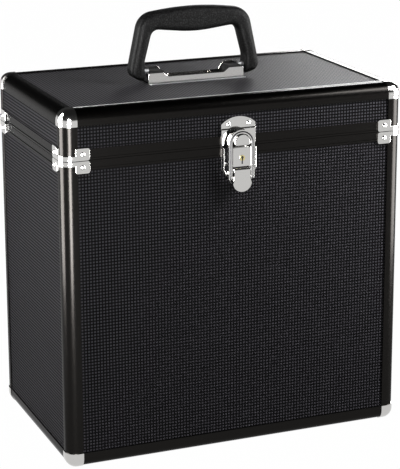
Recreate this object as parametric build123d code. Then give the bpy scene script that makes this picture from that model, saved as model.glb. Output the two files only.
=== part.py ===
"""Record carrying case: a panelled base and hinged lid in aluminium edging, a draw latch and a grip.

Millimetres, +Z up. The origin is on the ground under the middle of the whole object. Lengths named
"depth" are measured inwards from the outer face of the edging, and "proud" ones outwards from it.
"""
from build123d import *
import math
import os

# ---------------------------------------------------------------- driving dimensions
WIDTH = 370.0            # case, left to right
DEPTH = 220.0            # case, front to back
HEIGHT = 370.0           # case, without feet and handle
LID_HEIGHT = 50.0        # seam to top
FOOT_HEIGHT = 3.0        # feet below the case
SEAM_GAP = 0.4           # air between lid and base

PANEL = 7.0              # laminated board
LEG = 16.0               # width of an edging leg on the face
SHEET = 1.2              # wall of the edging
CORE = 11.0              # solid core of the edging
ROUND = 10.99            # outer radius of the edging, just under its core
LINING = 2.5             # felt-faced foam

RIM_BASE = 9.5           # height of the base rim on the face
RIM_LID = 11.0           # height of the lid rim on the face
RIM_CAP = 3.8            # rim material over the panel's edge
TONGUE_WIDTH = 2.0
TONGUE_HEIGHT = 3.0
TONGUE_DEPTH = 4.0       # from the outer face to the tongue
TONGUE_ROOM = 0.7        # air each side of the tongue
BEAD = 2.0               # height of the bead along each edge of a rim
BEAD_SINK = 0.6          # the flat between the beads lies this deep

BALL_PROUD = 0.8         # ball corners stand off the edging by this
BALL_CHAMFER = 7.0       # inner side of a ball corner, hidden
BRACKET_START = 13.2     # from the case's side face to the plate
BRACKET_WIDTH = 14.8
BRACKET_HEIGHT = 12.5
BRACKET_CORNER = 1.8     # cut off its two far corners
BRACKET_SHEET = 1.2
STRAP_HEIGHT = 5.0
RIVET_RADIUS = 2.5
RIVET_SIDES = 12
RIVET_TAPER = 35.0       # degrees
RIVET_HEAD = 1.2

FOOT_RADIUS = 9.0        # where it meets the case
FOOT_TAPER = 1.0         # it is this much smaller at the ground
FOOT_SIDES = 32
FOOT_INSET = 36.0
SCREW_RADIUS = 3.4       # cheese-head screw up the middle of a foot
SCREW_SIDES = 16
SCREW_SINK = 1.0         # its head stays this far above the ground

# latch: heights are measured from the seam, "out" from the front face
PLATE_SHEET = 1.5
PLATE_HALF = 18.6
STRIKE_LOW = 2.0          # its lower edge
STRIKE_SHOULDER = 21.0
STRIKE_TOP = 30.7
STRIKE_FOLD = 18.9        # above this it lies back on the panel
STRIKE_STEP = 2.0         # height of the slant below the fold
BOSS_HALF = 7.7
BOSS_LOW = 2.8
BOSS_TOP = 14.2
BOSS_CHAMFER = 0.7
BOSS_OUT = 12.0
BAIL_INNER = 10.3
BAIL_STRIP = 3.7
BAIL_TOP = 14.6           # underside of the arch
BAIL_OUT = (6.9, 9.5)
BAIL_PIVOT = (-30.3, 8.2)     # height, out
BAIL_FOOT_RADIUS = 1.2
BAIL_END = 2.0            # the strip runs this far below its pivot
BASE_PLATE_TOP = -0.8
BASE_PLATE_SHOULDER = -22.5
BASE_PLATE_TIP = (10.0, -37.0)     # half width, height
BASE_WALL = 1.3           # side walls of the base plate
BASE_WALL_OUT = 5.0
LEVER_PIN = (-22.7, 8.8)      # height, out
LEVER_PIN_RADIUS = 1.3
LEVER_BARREL = 2.7
LEVER_OUT = (10.0, 11.5)      # its face
LEVER_HALF = 8.7
LEVER_NECK = -31.5        # below this the tab flares
LEVER_FLARE = (10.1, -36.5)   # half width, height
LEVER_TIP = -45.0
LEVER_FLANGE = 1.4
LEVER_FLANGE_LOW = -33.8
LEVER_BACK = 2.8          # nothing of the lever is further in
LEVER_WEB = (-28.3, -23.7)    # heights of the web that the bolt locks
LEVER_WEB_OUT = 6.0
BOLT_POCKET = (-26.8, -16.3)  # heights of the pocket in that web
LOCK_HALF = 9.7
LOCK_TOP = 0.9
LOCK_BOTTOM = -19.4
LOCK_OUT = 10.5
PLUG_HEIGHT = -10.2
PLUG_RADIUS = 3.0
KEYWAY = 1.4              # width of the key's slot
KEYWAY_LOW = -16.4
KEYWAY_DEPTH = 3.0
KEY_EYE_RISE = 1.1        # above the plug's centre
KEY_EYE_RADIUS = 1.1
BOLT_HALF = 3.0
BOLT_OUT = (3.7, 5.1)
BOLT_REST = -19.1
EAR_X = (9.0, 10.0)
RUNNING = 0.05           # radial clearance of a pin in its hole
CLEAR = 0.3              # air between bodies
WELD = 0.1               # fused pieces run this far into each other

# hinge
HINGE_X = 110.0
HINGE_HALF = 25.0
KNUCKLE_RADIUS = 3.4
HINGE_PIN_RADIUS = 1.7
HINGE_OUT = 3.7
HINGE_LEAF_HEIGHT = 28.0
KNUCKLES = 3
KNUCKLE_NOTCH = 0.6      # the leaf starts this far beyond a knuckle

# handle
HANDLE_X = -4.0          # the grip and its channel sit a little left of the middle
CHANNEL_HALF = 53.5
CHANNEL_DEPTH = 22.0
CHANNEL_END = 14.0       # wall height at the ends
CHANNEL_LOW = 6.4        # wall height in the middle
CHANNEL_RAMP = (31.0, 37.0)     # each wall rises between these
CHANNEL_SHEET = 1.5
CHANNEL_CHEEK = 3.0      # thickness of its ends, and width of its flanges
CHANNEL_FLANGE = 1.2
HANDLE_PIVOT = 11.0      # above the top rails
HANDLE_PIN_RADIUS = 3.0
HANDLE_PIN_REACH = 64.0  # the pins end inside the legs
GRIP_THICKNESS = 19.0
GRIP_HEIGHT = 78.2
GRIP_BELLY = 49.0        # underside of the bar, at its middle
GRIP_FOOT = 1.0          # underside of the legs
GRIP_SOFT = 6.0          # rounding of the outline
GRIP_FLATS = 3           # flats that make up that rounding

# ---------------------------------------------------------------- derived places
LATCH_PROUD = BOSS_OUT
HINGE_PROUD = HINGE_OUT + KNUCKLE_RADIUS
CASE_Y = (LATCH_PROUD - HINGE_PROUD) / 2      # centre of the case, so that the whole is centred
FRONT = CASE_Y - DEPTH / 2
BACK = CASE_Y + DEPTH / 2
HALF_W = WIDTH / 2
HALF_D = DEPTH / 2
BOTTOM = FOOT_HEIGHT
TOP = FOOT_HEIGHT + HEIGHT
SEAM = TOP - LID_HEIGHT
BASE_TOP = SEAM - SEAM_GAP / 2
LID_BOTTOM = SEAM + SEAM_GAP / 2
PANEL_IN = SHEET + PANEL          # depth of a panel's inner face
LEG_IN = PANEL_IN + SHEET         # depth of an inner leg's inner face
SIDES = ((-1, -1, "front_left"), (1, -1, "front_right"), (-1, 1, "back_left"), (1, 1, "back_right"))

parts = {}


def span(x0, x1, y0, y1, z0, z1):
    """A box between two values on each axis, in any order."""
    size = (abs(x1 - x0), abs(y1 - y0), abs(z1 - z0))
    return Pos((x0 + x1) / 2, (y0 + y1) / 2, (z0 + z1) / 2) * Box(*size)


def along(axis, radius, start, end, u, v):
    """A round bar along "x" at (y, z) = (u, v), or along "y" at (x, z) = (u, v)."""
    middle = (start + end) / 2
    length = abs(end - start)
    if axis == "x":
        return Pos(middle, u, v) * Rot(0, 90, 0) * Cylinder(radius, length)
    return Pos(u, middle, v) * Rot(90, 0, 0) * Cylinder(radius, length)


def fuse(shapes):
    """One shape from a list."""
    result = shapes[0]
    for shape in shapes[1:]:
        result = result + shape
    return result


def group(shapes):
    """Separate solids kept in one node."""
    solids = []
    for shape in shapes:
        solids.extend(shape.solids())
    return Compound(children=solids)


def at_corner(shape, side_x, side_y, height):
    """A piece drawn for the front left corner, moved to one corner of the case."""
    if side_x > 0:
        shape = mirror(shape, Plane.YZ)
    if side_y > 0:
        shape = mirror(shape, Plane.XZ)
    return Pos(side_x * HALF_W, CASE_Y + side_y * HALF_D, height) * shape


def along_side(section, side, along_x, height, upside_down):
    """A section drawn as (depth, height), extruded between the corners of one side of the case."""
    length = (WIDTH if along_x else DEPTH) - 2 * LEG
    bar = Pos(0, 0, -length / 2) * extrude(section, length)
    if along_x:
        bar = Plane(origin=(0, 0, 0), x_dir=(0, 1, 0), z_dir=(1, 0, 0)) * bar
    else:
        bar = Plane(origin=(0, 0, 0), x_dir=(1, 0, 0), z_dir=(0, -1, 0)) * bar
    if side > 0:
        bar = mirror(bar, Plane.XZ if along_x else Plane.YZ)
    if upside_down:
        bar = mirror(bar, Plane.XY)
    if along_x:
        return Pos(0, CASE_Y + side * HALF_D, height) * bar
    return Pos(side * HALF_W, CASE_Y, height) * bar


# ---------------------------------------------------------------- edging
def edging_section():
    """Double-angle edging: two outer legs, a quarter-round core and two short inner legs.

    The outer corner is at the origin, and the legs run along +X and +Y.
    """
    core = Pos(CORE / 2, CORE / 2) * Rectangle(CORE, CORE)
    outer_x = Pos(LEG / 2, SHEET / 2) * Rectangle(LEG, SHEET)
    outer_y = Pos(SHEET / 2, LEG / 2) * Rectangle(SHEET, LEG)
    short = LEG - CORE
    inner_x = Pos(CORE + short / 2, PANEL_IN + SHEET / 2) * Rectangle(short, SHEET)
    inner_y = Pos(PANEL_IN + SHEET / 2, CORE + short / 2) * Rectangle(SHEET, short)
    section = core + outer_x + outer_y + inner_x + inner_y
    corner = section.vertices().sort_by(lambda v: v.X + v.Y)[0]
    return fillet(corner, ROUND)


def edging_post(side_x, side_y, z0, z1):
    """A corner post between two heights."""
    return at_corner(extrude(edging_section(), z1 - z0), side_x, side_y, z0)


def edging_rail(side, along_x, lid):
    """A horizontal rail on the outer edge of one side of the base or the lid."""
    return along_side(edging_section(), side, along_x, TOP if lid else BOTTOM, lid)


def rim_section(lid):
    """The rim's section, drawn as (depth, height from its seam edge towards its panel)."""
    tall = RIM_LID if lid else RIM_BASE
    outer = Pos(SHEET / 2, tall / 2) * Rectangle(SHEET, tall)
    cap = Pos(LEG_IN / 2, RIM_CAP / 2) * Rectangle(LEG_IN, RIM_CAP)
    inner = Pos(PANEL_IN + SHEET / 2, tall / 2) * Rectangle(SHEET, tall)
    section = outer + cap + inner
    section = section - Pos(0, tall / 2) * Rectangle(2 * BEAD_SINK, tall - 2 * BEAD)
    middle = TONGUE_DEPTH + TONGUE_WIDTH / 2
    if lid:
        return section - Pos(middle, 0) * Rectangle(TONGUE_WIDTH + 2 * TONGUE_ROOM, 2 * TONGUE_HEIGHT)
    return section + Pos(middle, -TONGUE_HEIGHT / 2) * Rectangle(TONGUE_WIDTH, TONGUE_HEIGHT)


def rim(side, along_x, lid):
    """One length of rim between two posts."""
    return along_side(rim_section(lid), side, along_x, LID_BOTTOM if lid else BASE_TOP, not lid)


# ---------------------------------------------------------------- panels and lining
def wall_panel(side, along_x, z0, z1):
    """An upright panel, caught between the edging's legs."""
    if along_x:
        outer = CASE_Y + side * (HALF_D - SHEET)
        reach = HALF_W - CORE
        return span(-reach, reach, outer, outer - side * PANEL, z0, z1)
    outer = side * (HALF_W - SHEET)
    reach = HALF_D - CORE
    return span(outer, outer - side * PANEL, CASE_Y - reach, CASE_Y + reach, z0, z1)


def flat_panel(z0, z1):
    """The top or bottom panel."""
    x = HALF_W - CORE
    y = HALF_D - CORE
    return span(-x, x, CASE_Y - y, CASE_Y + y, z0, z1)


def core_bars(z0, z1, edge):
    """The square room that the cores take, to be cut from the lining."""
    bars = []
    for side_x, side_y, _ in SIDES:
        x = side_x * HALF_W
        y = CASE_Y + side_y * HALF_D
        bars.append(span(x, x - side_x * CORE, y, y - side_y * CORE, z0, z1))
    low, high = (edge, edge + CORE) if edge < SEAM else (edge - CORE, edge)
    for side in (-1, 1):
        y = CASE_Y + side * HALF_D
        x = side * HALF_W
        bars.append(span(-HALF_W, HALF_W, y, y - side * CORE, low, high))
        bars.append(span(x, x - side * CORE, FRONT, BACK, low, high))
    return fuse(bars)


def lining(lid):
    """A tray of lining, open at the seam."""
    x = HALF_W - LEG_IN
    y = HALF_D - LEG_IN
    if lid:
        z0, z1 = LID_BOTTOM + 1, TOP - LEG_IN
        inner0, inner1 = z0 - 1, z1 - LINING
    else:
        z0, z1 = BOTTOM + LEG_IN, BASE_TOP - 1
        inner0, inner1 = z0 + LINING, z1 + 1
    outer = span(-x, x, CASE_Y - y, CASE_Y + y, z0, z1)
    inner_x = x - LINING
    inner_y = y - LINING
    tray = outer - span(-inner_x, inner_x, CASE_Y - inner_y, CASE_Y + inner_y, inner0, inner1)
    return tray - core_bars(BOTTOM, TOP, TOP if lid else BOTTOM)


# ---------------------------------------------------------------- corner fittings
def ball_corner(side_x, side_y, lid):
    """A thin chromed cap over one corner of the case, round on its three edges."""
    reach = LEG + BALL_PROUD
    outer = span(-BALL_PROUD, LEG, -BALL_PROUD, LEG, -BALL_PROUD, LEG)
    outer = fillet(corner_edges(outer), ROUND + BALL_PROUD)
    inner = span(SHEET, reach, SHEET, reach, SHEET, reach)
    inner = chamfer(corner_edges(inner), BALL_CHAMFER)
    cap = outer - inner
    if lid:
        cap = mirror(cap, Plane.XY)
    return at_corner(cap, side_x, side_y, TOP if lid else BOTTOM)


def corner_edges(block):
    """The three edges that meet at a block's lowest corner."""
    corner = block.vertices().sort_by(lambda v: v.X + v.Y + v.Z)[0]
    near = []
    for edge in block.edges():
        ends = [(v.X, v.Y, v.Z) for v in edge.vertices()]
        if any(math.dist(end, (corner.X, corner.Y, corner.Z)) < 1e-6 for end in ends):
            near.append(edge)
    return near


def bracket(side_x, side_y, lid):
    """A plate on each face of a post at the seam, joined round the post by a narrow strap."""
    out = BRACKET_SHEET
    limit = BRACKET_START + BRACKET_WIDTH
    reach = limit + 1
    band = extrude(rounded_square(-out, reach, ROUND + out) - rounded_square(0, reach, ROUND), BRACKET_HEIGHT)
    start = BRACKET_START
    band = band - span(-out - 1, start, -out - 1, start, STRAP_HEIGHT, BRACKET_HEIGHT + 1)
    band = band - span(limit, reach + 9, -9, 9, -1, BRACKET_HEIGHT + 1)
    band = band - span(-9, 9, limit, reach + 9, -1, BRACKET_HEIGHT + 1)
    top_edges = band.edges().group_by(Axis.Z)[-1]
    band = chamfer([edge for edge in top_edges if abs(edge.length - out) < 0.01], BRACKET_CORNER)
    if not lid:
        band = mirror(band, Plane.XY)
    return at_corner(band, side_x, side_y, LID_BOTTOM if lid else BASE_TOP)


def rounded_square(low, high, radius):
    """A square between two values on both axes, rounded at its lowest corner."""
    middle = (low + high) / 2
    square = Pos(middle, middle) * Rectangle(high - low, high - low)
    corner = square.vertices().sort_by(lambda v: v.X + v.Y)[0]
    return fillet(corner, radius)


def rivet():
    """The head of a set rivet, standing on z = 0."""
    return extrude(RegularPolygon(RIVET_RADIUS, RIVET_SIDES), RIVET_HEAD, taper=RIVET_TAPER)


def face_rivet(direction, x, y, z):
    """A rivet whose head stands on (x, y, z) and points along direction."""
    return Plane(origin=(x, y, z), z_dir=direction) * rivet()


def bracket_rivets(lid):
    """Two rivets in each of the four brackets of one half."""
    result = []
    height = LID_BOTTOM + BRACKET_HEIGHT / 2 if lid else BASE_TOP - BRACKET_HEIGHT / 2
    middle = BRACKET_START + BRACKET_WIDTH / 2
    out = BRACKET_SHEET
    for side_x, side_y, _ in SIDES:
        x = side_x * HALF_W
        y = CASE_Y + side_y * HALF_D
        on_front = (x - side_x * middle, y + side_y * out, height)
        on_side = (x + side_x * out, y - side_y * middle, height)
        result.append(face_rivet((0, side_y, 0), *on_front))
        result.append(face_rivet((side_x, 0, 0), *on_side))
    return result


# ---------------------------------------------------------------- latch
def front_plate(outline, out0, out1):
    """A flat piece drawn as (x, height from the seam), between two distances out."""
    face = make_face(Polyline(*outline, close=True)) if isinstance(outline, list) else outline
    solid = extrude(face, out1 - out0)
    plane = Plane(origin=(0, FRONT - out0, SEAM), x_dir=(1, 0, 0), z_dir=(0, -1, 0))
    return plane * solid


def strike_plate():
    """The lid's plate, stepped back on to the panel above its fold, and the boss for the bail."""
    half = PLATE_HALF
    rise = STRIKE_TOP - STRIKE_SHOULDER
    radius = (half ** 2 + rise ** 2) / (2 * rise)
    body = Pos(0, (STRIKE_LOW + STRIKE_SHOULDER) / 2) * Rectangle(2 * half, STRIKE_SHOULDER - STRIKE_LOW)
    arch = Pos(0, STRIKE_TOP - radius) * Circle(radius)
    crown = Pos(0, STRIKE_SHOULDER + rise / 2) * Rectangle(2 * half, rise)
    shape = front_plate(body + (arch & crown), -SHEET, PLATE_SHEET)
    plate = shape & stepped_sheet(half)
    tall = BOSS_TOP - BOSS_LOW
    limit = Pos(0, BOSS_LOW + tall / 2) * Rectangle(2 * BOSS_HALF, tall)
    middle = BOSS_TOP - BOSS_HALF
    round_top = Pos(0, middle) * Circle(BOSS_HALF)
    square = Pos(0, middle - BOSS_HALF / 2) * Rectangle(2 * BOSS_HALF, BOSS_HALF)
    boss = front_plate((round_top + square) & limit, PLATE_SHEET - WELD, BOSS_OUT)
    return plate + chamfer(boss.faces().sort_by(Axis.Y)[0].edges(), BOSS_CHAMFER)


def stepped_sheet(half):
    """A sheet whose upper part lies on the panel, SHEET further in than its lower part."""
    low, fold, top = STRIKE_LOW, STRIKE_FOLD, STRIKE_TOP + 1
    step = fold - STRIKE_STEP
    slant = PLATE_SHEET / 3
    back = [(0, low), (0, step), (SHEET, fold), (SHEET, top)]
    front_y = SHEET - PLATE_SHEET
    front = [(front_y, top), (front_y, fold + slant), (-PLATE_SHEET, step + slant), (-PLATE_SHEET, low)]
    face = make_face(Polyline(*back, *front, close=True))
    plane = Plane(origin=(-half, FRONT, SEAM), x_dir=(0, 1, 0), z_dir=(1, 0, 0))
    return plane * extrude(face, 2 * half)


STRIKE_RIVETS = ((-11.0, 23.2), (11.0, 23.2))
BASE_PLATE_RIVETS = ((-13.6, -6.5), (13.6, -6.5), (-12.0, -28.0), (12.0, -28.0))


def base_plate():
    """The plate on the base: side walls, and two ears that hold the lever's pin."""
    half, shoulder = PLATE_HALF, BASE_PLATE_SHOULDER
    tip, low = BASE_PLATE_TIP
    outline = [(-half, BASE_PLATE_TOP), (half, BASE_PLATE_TOP), (half, shoulder), (tip, low)]
    outline += [(-tip, low), (-half, shoulder)]
    plate = front_plate(outline, 0, PLATE_SHEET)
    for side in (-1, 1):
        inner, outer = side * (half - BASE_WALL), side * half
        y0, y1 = FRONT - PLATE_SHEET + WELD, FRONT - BASE_WALL_OUT
        wall = span(inner, outer, y0, y1, SEAM + BASE_PLATE_TOP - 1.2, SEAM + shoulder)
        plate = plate + wall + ear(side)
    return plate


def ear(side):
    """One ear, round about the lever's pin, with the pin's hole."""
    height, out = LEVER_PIN
    y = FRONT - out
    z = SEAM + height
    x0, x1 = side * EAR_X[0], side * EAR_X[1]
    back = span(x0, x1, FRONT - PLATE_SHEET + WELD, y, z - LEVER_BARREL, z + LEVER_BARREL)
    tip = along("x", LEVER_BARREL, x0, x1, y, z)
    return back + tip - along("x", LEVER_PIN_RADIUS, -2 * EAR_X[1], 2 * EAR_X[1], y, z)


def lever_pin():
    """The pin through both ears."""
    height, out = LEVER_PIN
    return along("x", LEVER_PIN_RADIUS, -EAR_X[1], EAR_X[1], FRONT - out, SEAM + height)


def lock_box():
    """A pressed box over the lock, open at the back, with the keyhole and the bolt's slot."""
    outer = front_plate(box_outline(LOCK_HALF, LOCK_BOTTOM, LOCK_TOP), PLATE_SHEET, LOCK_OUT)
    wall = PLATE_SHEET
    outer = chamfer(outer.faces().sort_by(Axis.Y)[0].edges(), 0.6)
    room = box_outline(LOCK_HALF - wall, LOCK_BOTTOM + wall, LOCK_TOP - wall)
    shell = outer - front_plate(room, PLATE_SHEET - 1, LOCK_OUT - wall)
    hole = along("y", PLUG_RADIUS + RUNNING, FRONT - 5, FRONT - 20, 0, SEAM + PLUG_HEIGHT)
    slot = front_plate(box_outline(BOLT_HALF + CLEAR, LOCK_BOTTOM - 1, LOCK_BOTTOM + wall + 1), *bolt_room())
    keyhole = front_plate(box_outline(KEYWAY / 2, KEYWAY_LOW, PLUG_HEIGHT), LOCK_OUT - 2, LOCK_OUT + 1)
    return shell - hole - slot - keyhole


def bolt_room():
    """The room that the bolt needs, as two distances out."""
    return BOLT_OUT[0] - CLEAR, BOLT_OUT[1] + CLEAR


def box_outline(half, low, high):
    """A rectangle about x = 0, between two heights from the seam."""
    return [(-half, low), (half, low), (half, high), (-half, high)]


def lock_plug():
    """The brass key plug, with its keyway."""
    plug = along("y", PLUG_RADIUS, FRONT - BOLT_OUT[1] - CLEAR, FRONT - LOCK_OUT - 0.5, 0, SEAM + PLUG_HEIGHT)
    deep, proud = LOCK_OUT - KEYWAY_DEPTH, LOCK_OUT + KEYWAY_DEPTH
    eye_height = PLUG_HEIGHT + KEY_EYE_RISE
    slot = front_plate(box_outline(KEYWAY / 2, PLUG_HEIGHT - PLUG_RADIUS - 1, eye_height), deep, proud)
    eye = along("y", KEY_EYE_RADIUS, FRONT - deep, FRONT - proud, 0, SEAM + eye_height)
    return plug - slot - eye


def lock_bolt():
    """The bolt that slides down into the lever's pocket."""
    return front_plate(box_outline(BOLT_HALF, BOLT_REST, BOLT_REST + 8), *BOLT_OUT)


def lever():
    """The pressed lever: barrel at its top, side flanges, locking web and a rounded finger tab."""
    height, out = LEVER_PIN
    pin_y = FRONT - out
    pin_z = SEAM + height
    body = front_plate(lever_tab(), *LEVER_OUT)
    body = body + along("x", LEVER_BARREL, -LEVER_HALF, LEVER_HALF, pin_y, pin_z)
    for side in (-1, 1):
        inner, outer = side * (LEVER_HALF - LEVER_FLANGE), side * LEVER_HALF
        y0, y1 = FRONT - LEVER_BACK, FRONT - LEVER_OUT[0] - WELD
        body = body + span(inner, outer, y0, y1, SEAM + LEVER_FLANGE_LOW, pin_z)
    body = body + front_plate(box_outline(LEVER_HALF - 1, *LEVER_WEB), LEVER_BACK, LEVER_WEB_OUT)
    body = body - front_plate(box_outline(BOLT_HALF + CLEAR, *BOLT_POCKET), *bolt_room())
    reach = 2 * LEVER_HALF
    body = body - along("x", LEVER_PIN_RADIUS + RUNNING, -reach, reach, pin_y, pin_z)
    bail_height, bail_out = BAIL_PIVOT
    return body - along("x", BAIL_FOOT_RADIUS + RUNNING, -reach, reach, FRONT - bail_out, SEAM + bail_height)


def lever_tab():
    """The lever's face: straight by the barrel, flared below it, and round at its tip."""
    half, top = LEVER_HALF, LEVER_PIN[0]
    wide, low = LEVER_FLARE
    neck = LEVER_NECK
    sides = Polyline((-wide, low), (-half, neck), (-half, top), (half, top), (half, neck), (wide, low))
    return make_face(sides + ThreePointArc((wide, low), (0, LEVER_TIP), (-wide, low)))


def bail():
    """The arched strip, with its two feet turned in to the lever."""
    outer = BAIL_INNER + BAIL_STRIP
    centre = BAIL_TOP - BAIL_INNER
    height, out = BAIL_PIVOT
    low = height - BAIL_END
    arch = Pos(0, centre) * (Circle(outer) - Circle(BAIL_INNER))
    upper = Pos(0, centre + 25) * Rectangle(80, 50)
    face = arch & upper
    for side in (-1, 1):
        middle = side * (BAIL_INNER + BAIL_STRIP / 2)
        face = face + Pos(middle, (centre + low) / 2) * Rectangle(BAIL_STRIP, centre - low)
    strip = front_plate(face, *BAIL_OUT)
    for side in (-1, 1):
        x0, x1 = side * (LEVER_HALF - LEVER_FLANGE), side * (BAIL_INNER + 1)
        strip = strip + along("x", BAIL_FOOT_RADIUS, x0, x1, FRONT - out, SEAM + height)
    return strip


# ---------------------------------------------------------------- hinges
def knuckle_spans(lid):
    """The x ranges of one leaf's knuckles, about the hinge's own middle."""
    step = 2 * HINGE_HALF / KNUCKLES
    wanted = 1 if lid else 0
    spans = []
    for index in range(KNUCKLES):
        if index % 2 == wanted:
            start = -HINGE_HALF + index * step
            spans.append((start + CLEAR / 2, start + step - CLEAR / 2))
    return spans


def hinge_leaf(x, lid):
    """One leaf of a butt hinge on the back face."""
    side = 1 if lid else -1
    notch = KNUCKLE_RADIUS + KNUCKLE_NOTCH
    y0, y1 = BACK, BACK + PLATE_SHEET
    leaf = span(x - HINGE_HALF, x + HINGE_HALF, y0, y1, SEAM + side * notch, SEAM + side * HINGE_LEAF_HEIGHT)
    axis_y = BACK + HINGE_OUT
    bore = HINGE_PIN_RADIUS + (RUNNING if lid else 0)
    for start, end in knuckle_spans(lid):
        link = span(x + start, x + end, y0, y1, SEAM + side * CLEAR, SEAM + side * (notch + 1))
        round_part = along("x", KNUCKLE_RADIUS, x + start, x + end, axis_y, SEAM)
        leaf = leaf + link + round_part
    return leaf - along("x", bore, x - 2 * HINGE_HALF, x + 2 * HINGE_HALF, axis_y, SEAM)


def hinge_rivets(x, lid):
    """Three rivets in a leaf, as (x, z)."""
    side = 1 if lid else -1
    return ((x - 17, SEAM + side * 17), (x, SEAM + side * 22), (x + 17, SEAM + side * 17))


def hinge_pin(x):
    """The pin of one hinge."""
    return along("x", HINGE_PIN_RADIUS, x - HINGE_HALF, x + HINGE_HALF, BACK + HINGE_OUT, SEAM)


# ---------------------------------------------------------------- handle
def channel():
    """The chromed channel under the grip: walls high at the ends and low in the middle."""
    half = CHANNEL_HALF
    low, high = CHANNEL_RAMP
    outline = [(-half, 0), (half, 0), (half, CHANNEL_END), (high, CHANNEL_END), (low, CHANNEL_LOW)]
    outline += [(-low, CHANNEL_LOW), (-high, CHANNEL_END), (-half, CHANNEL_END)]
    face = make_face(Polyline(*outline, close=True))
    plane = Plane(origin=(0, CASE_Y + CHANNEL_DEPTH / 2, channel_floor()), x_dir=(1, 0, 0), z_dir=(0, -1, 0))
    block = plane * extrude(face, CHANNEL_DEPTH)
    inner_x = half - CHANNEL_CHEEK
    inner_y = CHANNEL_DEPTH / 2 - CHANNEL_SHEET
    flange_y = CHANNEL_DEPTH / 2 + CHANNEL_CHEEK
    z = channel_floor()
    room = span(-inner_x, inner_x, CASE_Y - inner_y, CASE_Y + inner_y, z + CHANNEL_SHEET, z + 2 * CHANNEL_END)
    flanges = span(-inner_x, inner_x, CASE_Y - flange_y, CASE_Y + flange_y, z, z + CHANNEL_FLANGE)
    body = block - room + flanges
    return body - along("x", HANDLE_PIN_RADIUS, -2 * half, 2 * half, CASE_Y, pivot_height())


CHANNEL_RIVET_X = (-24.0, 24.0)


def channel_floor():
    """The channel stands on the recessed top panel."""
    return TOP - SHEET


def pivot_height():
    """Height of the grip's pins."""
    return TOP + HANDLE_PIVOT


def handle_pin(side):
    """A pin from a channel end into a leg of the grip."""
    start = side * (CHANNEL_HALF - CHANNEL_CHEEK)
    return along("x", HANDLE_PIN_RADIUS, start, side * HANDLE_PIN_REACH, CASE_Y, pivot_height())


def grip():
    """The moulded grip: its rounded arch, trimmed to the shape of its feet."""
    feet = grip_face(((60.0, GRIP_FOOT, 0), (73.6, 8.5, 12)), (55.5, GRIP_FOOT, 0))
    long_legs = grip_face(((78.6, -15.0, 0),), (55.5, -15.0, 0))
    arch = rounded_slab(long_legs, GRIP_THICKNESS, GRIP_SOFT, GRIP_FLATS)
    arch = arch & extrude(feet, GRIP_THICKNESS, both=True)
    plane = Plane(origin=(0, CASE_Y, TOP), x_dir=(1, 0, 0), z_dir=(0, -1, 0))
    body = (plane * arch) & grip_section_limit()
    bore = HANDLE_PIN_REACH + 0.5
    return body - along("x", HANDLE_PIN_RADIUS + RUNNING, -bore, bore, CASE_Y, pivot_height())


def grip_face(outer_foot, inner_foot):
    """The grip seen from the front: two tapering legs, and a bar with a crown and a belly.

    Each point is (x, height above the case, radius of its arc).
    """
    outer = (*outer_foot, (60.3, 71.0, 20))
    inner = ((47.0, 54.5, 8), (55.5, 22.0, 0), inner_foot)
    left = [(-x, z, radius) for x, z, radius in reversed(outer)]
    under_left = [(-x, z, radius) for x, z, radius in reversed(inner)]
    ring = [*outer, (0.0, GRIP_HEIGHT, 300), *left, *under_left, (0.0, GRIP_BELLY, 150), *inner]
    points = [(x, z) for x, z, _ in ring]
    return make_face(FilletPolyline(*points, radius=[radius for _, _, radius in ring], close=True))


def rounded_slab(face, thickness, soft, flats):
    """A slab about z = 0, whose rims are rounded by tapered steps."""
    level = thickness / 2 - soft
    half = extrude(face, level)
    top = Pos(0, 0, level) * face
    for flat in range(flats):
        start = math.radians(90 * flat / flats)
        end = math.radians(90 * (flat + 1) / flats)
        rise = soft * (math.sin(end) - math.sin(start))
        inset = soft * (math.cos(start) - math.cos(end))
        layer = extrude(top, rise, taper=math.degrees(math.atan2(inset, rise)))
        half = half + layer
        top = layer.faces().sort_by(Axis.Z)[-1]
    return half + mirror(half, Plane.XY)


def grip_section_limit():
    """The grip's side view: rounded about the pivot at its feet."""
    radius = HANDLE_PIVOT - 0.7
    half = GRIP_THICKNESS / 2
    z = pivot_height()
    upper = span(-90, 90, CASE_Y - half, CASE_Y + half, z, TOP + 90)
    return upper + along("x", radius, -90, 90, CASE_Y, z)


# ---------------------------------------------------------------- feet
def foot_places():
    """The four feet, as (x, y)."""
    return [(sx * (HALF_W - FOOT_INSET), CASE_Y + sy * (HALF_D - FOOT_INSET)) for sx, sy, _ in SIDES]


def rubber_foot(x, y):
    """A tapered rubber foot with a hole for its screw."""
    tall = FOOT_HEIGHT + SHEET
    taper = math.degrees(math.atan2(FOOT_TAPER, tall))
    cone = extrude(RegularPolygon(FOOT_RADIUS - FOOT_TAPER, FOOT_SIDES), tall, taper=-taper)
    return Pos(x, y) * (cone - extrude(screw_outline(), tall))


def foot_screw(x, y):
    """The sunk screw that holds a foot."""
    top = FOOT_HEIGHT + SHEET
    return Pos(x, y, SCREW_SINK) * extrude(screw_outline(), top - SCREW_SINK)


def screw_outline():
    """The screw's head from below, faceted like the hole that it sits in."""
    return RegularPolygon(SCREW_RADIUS, SCREW_SIDES)


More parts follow.
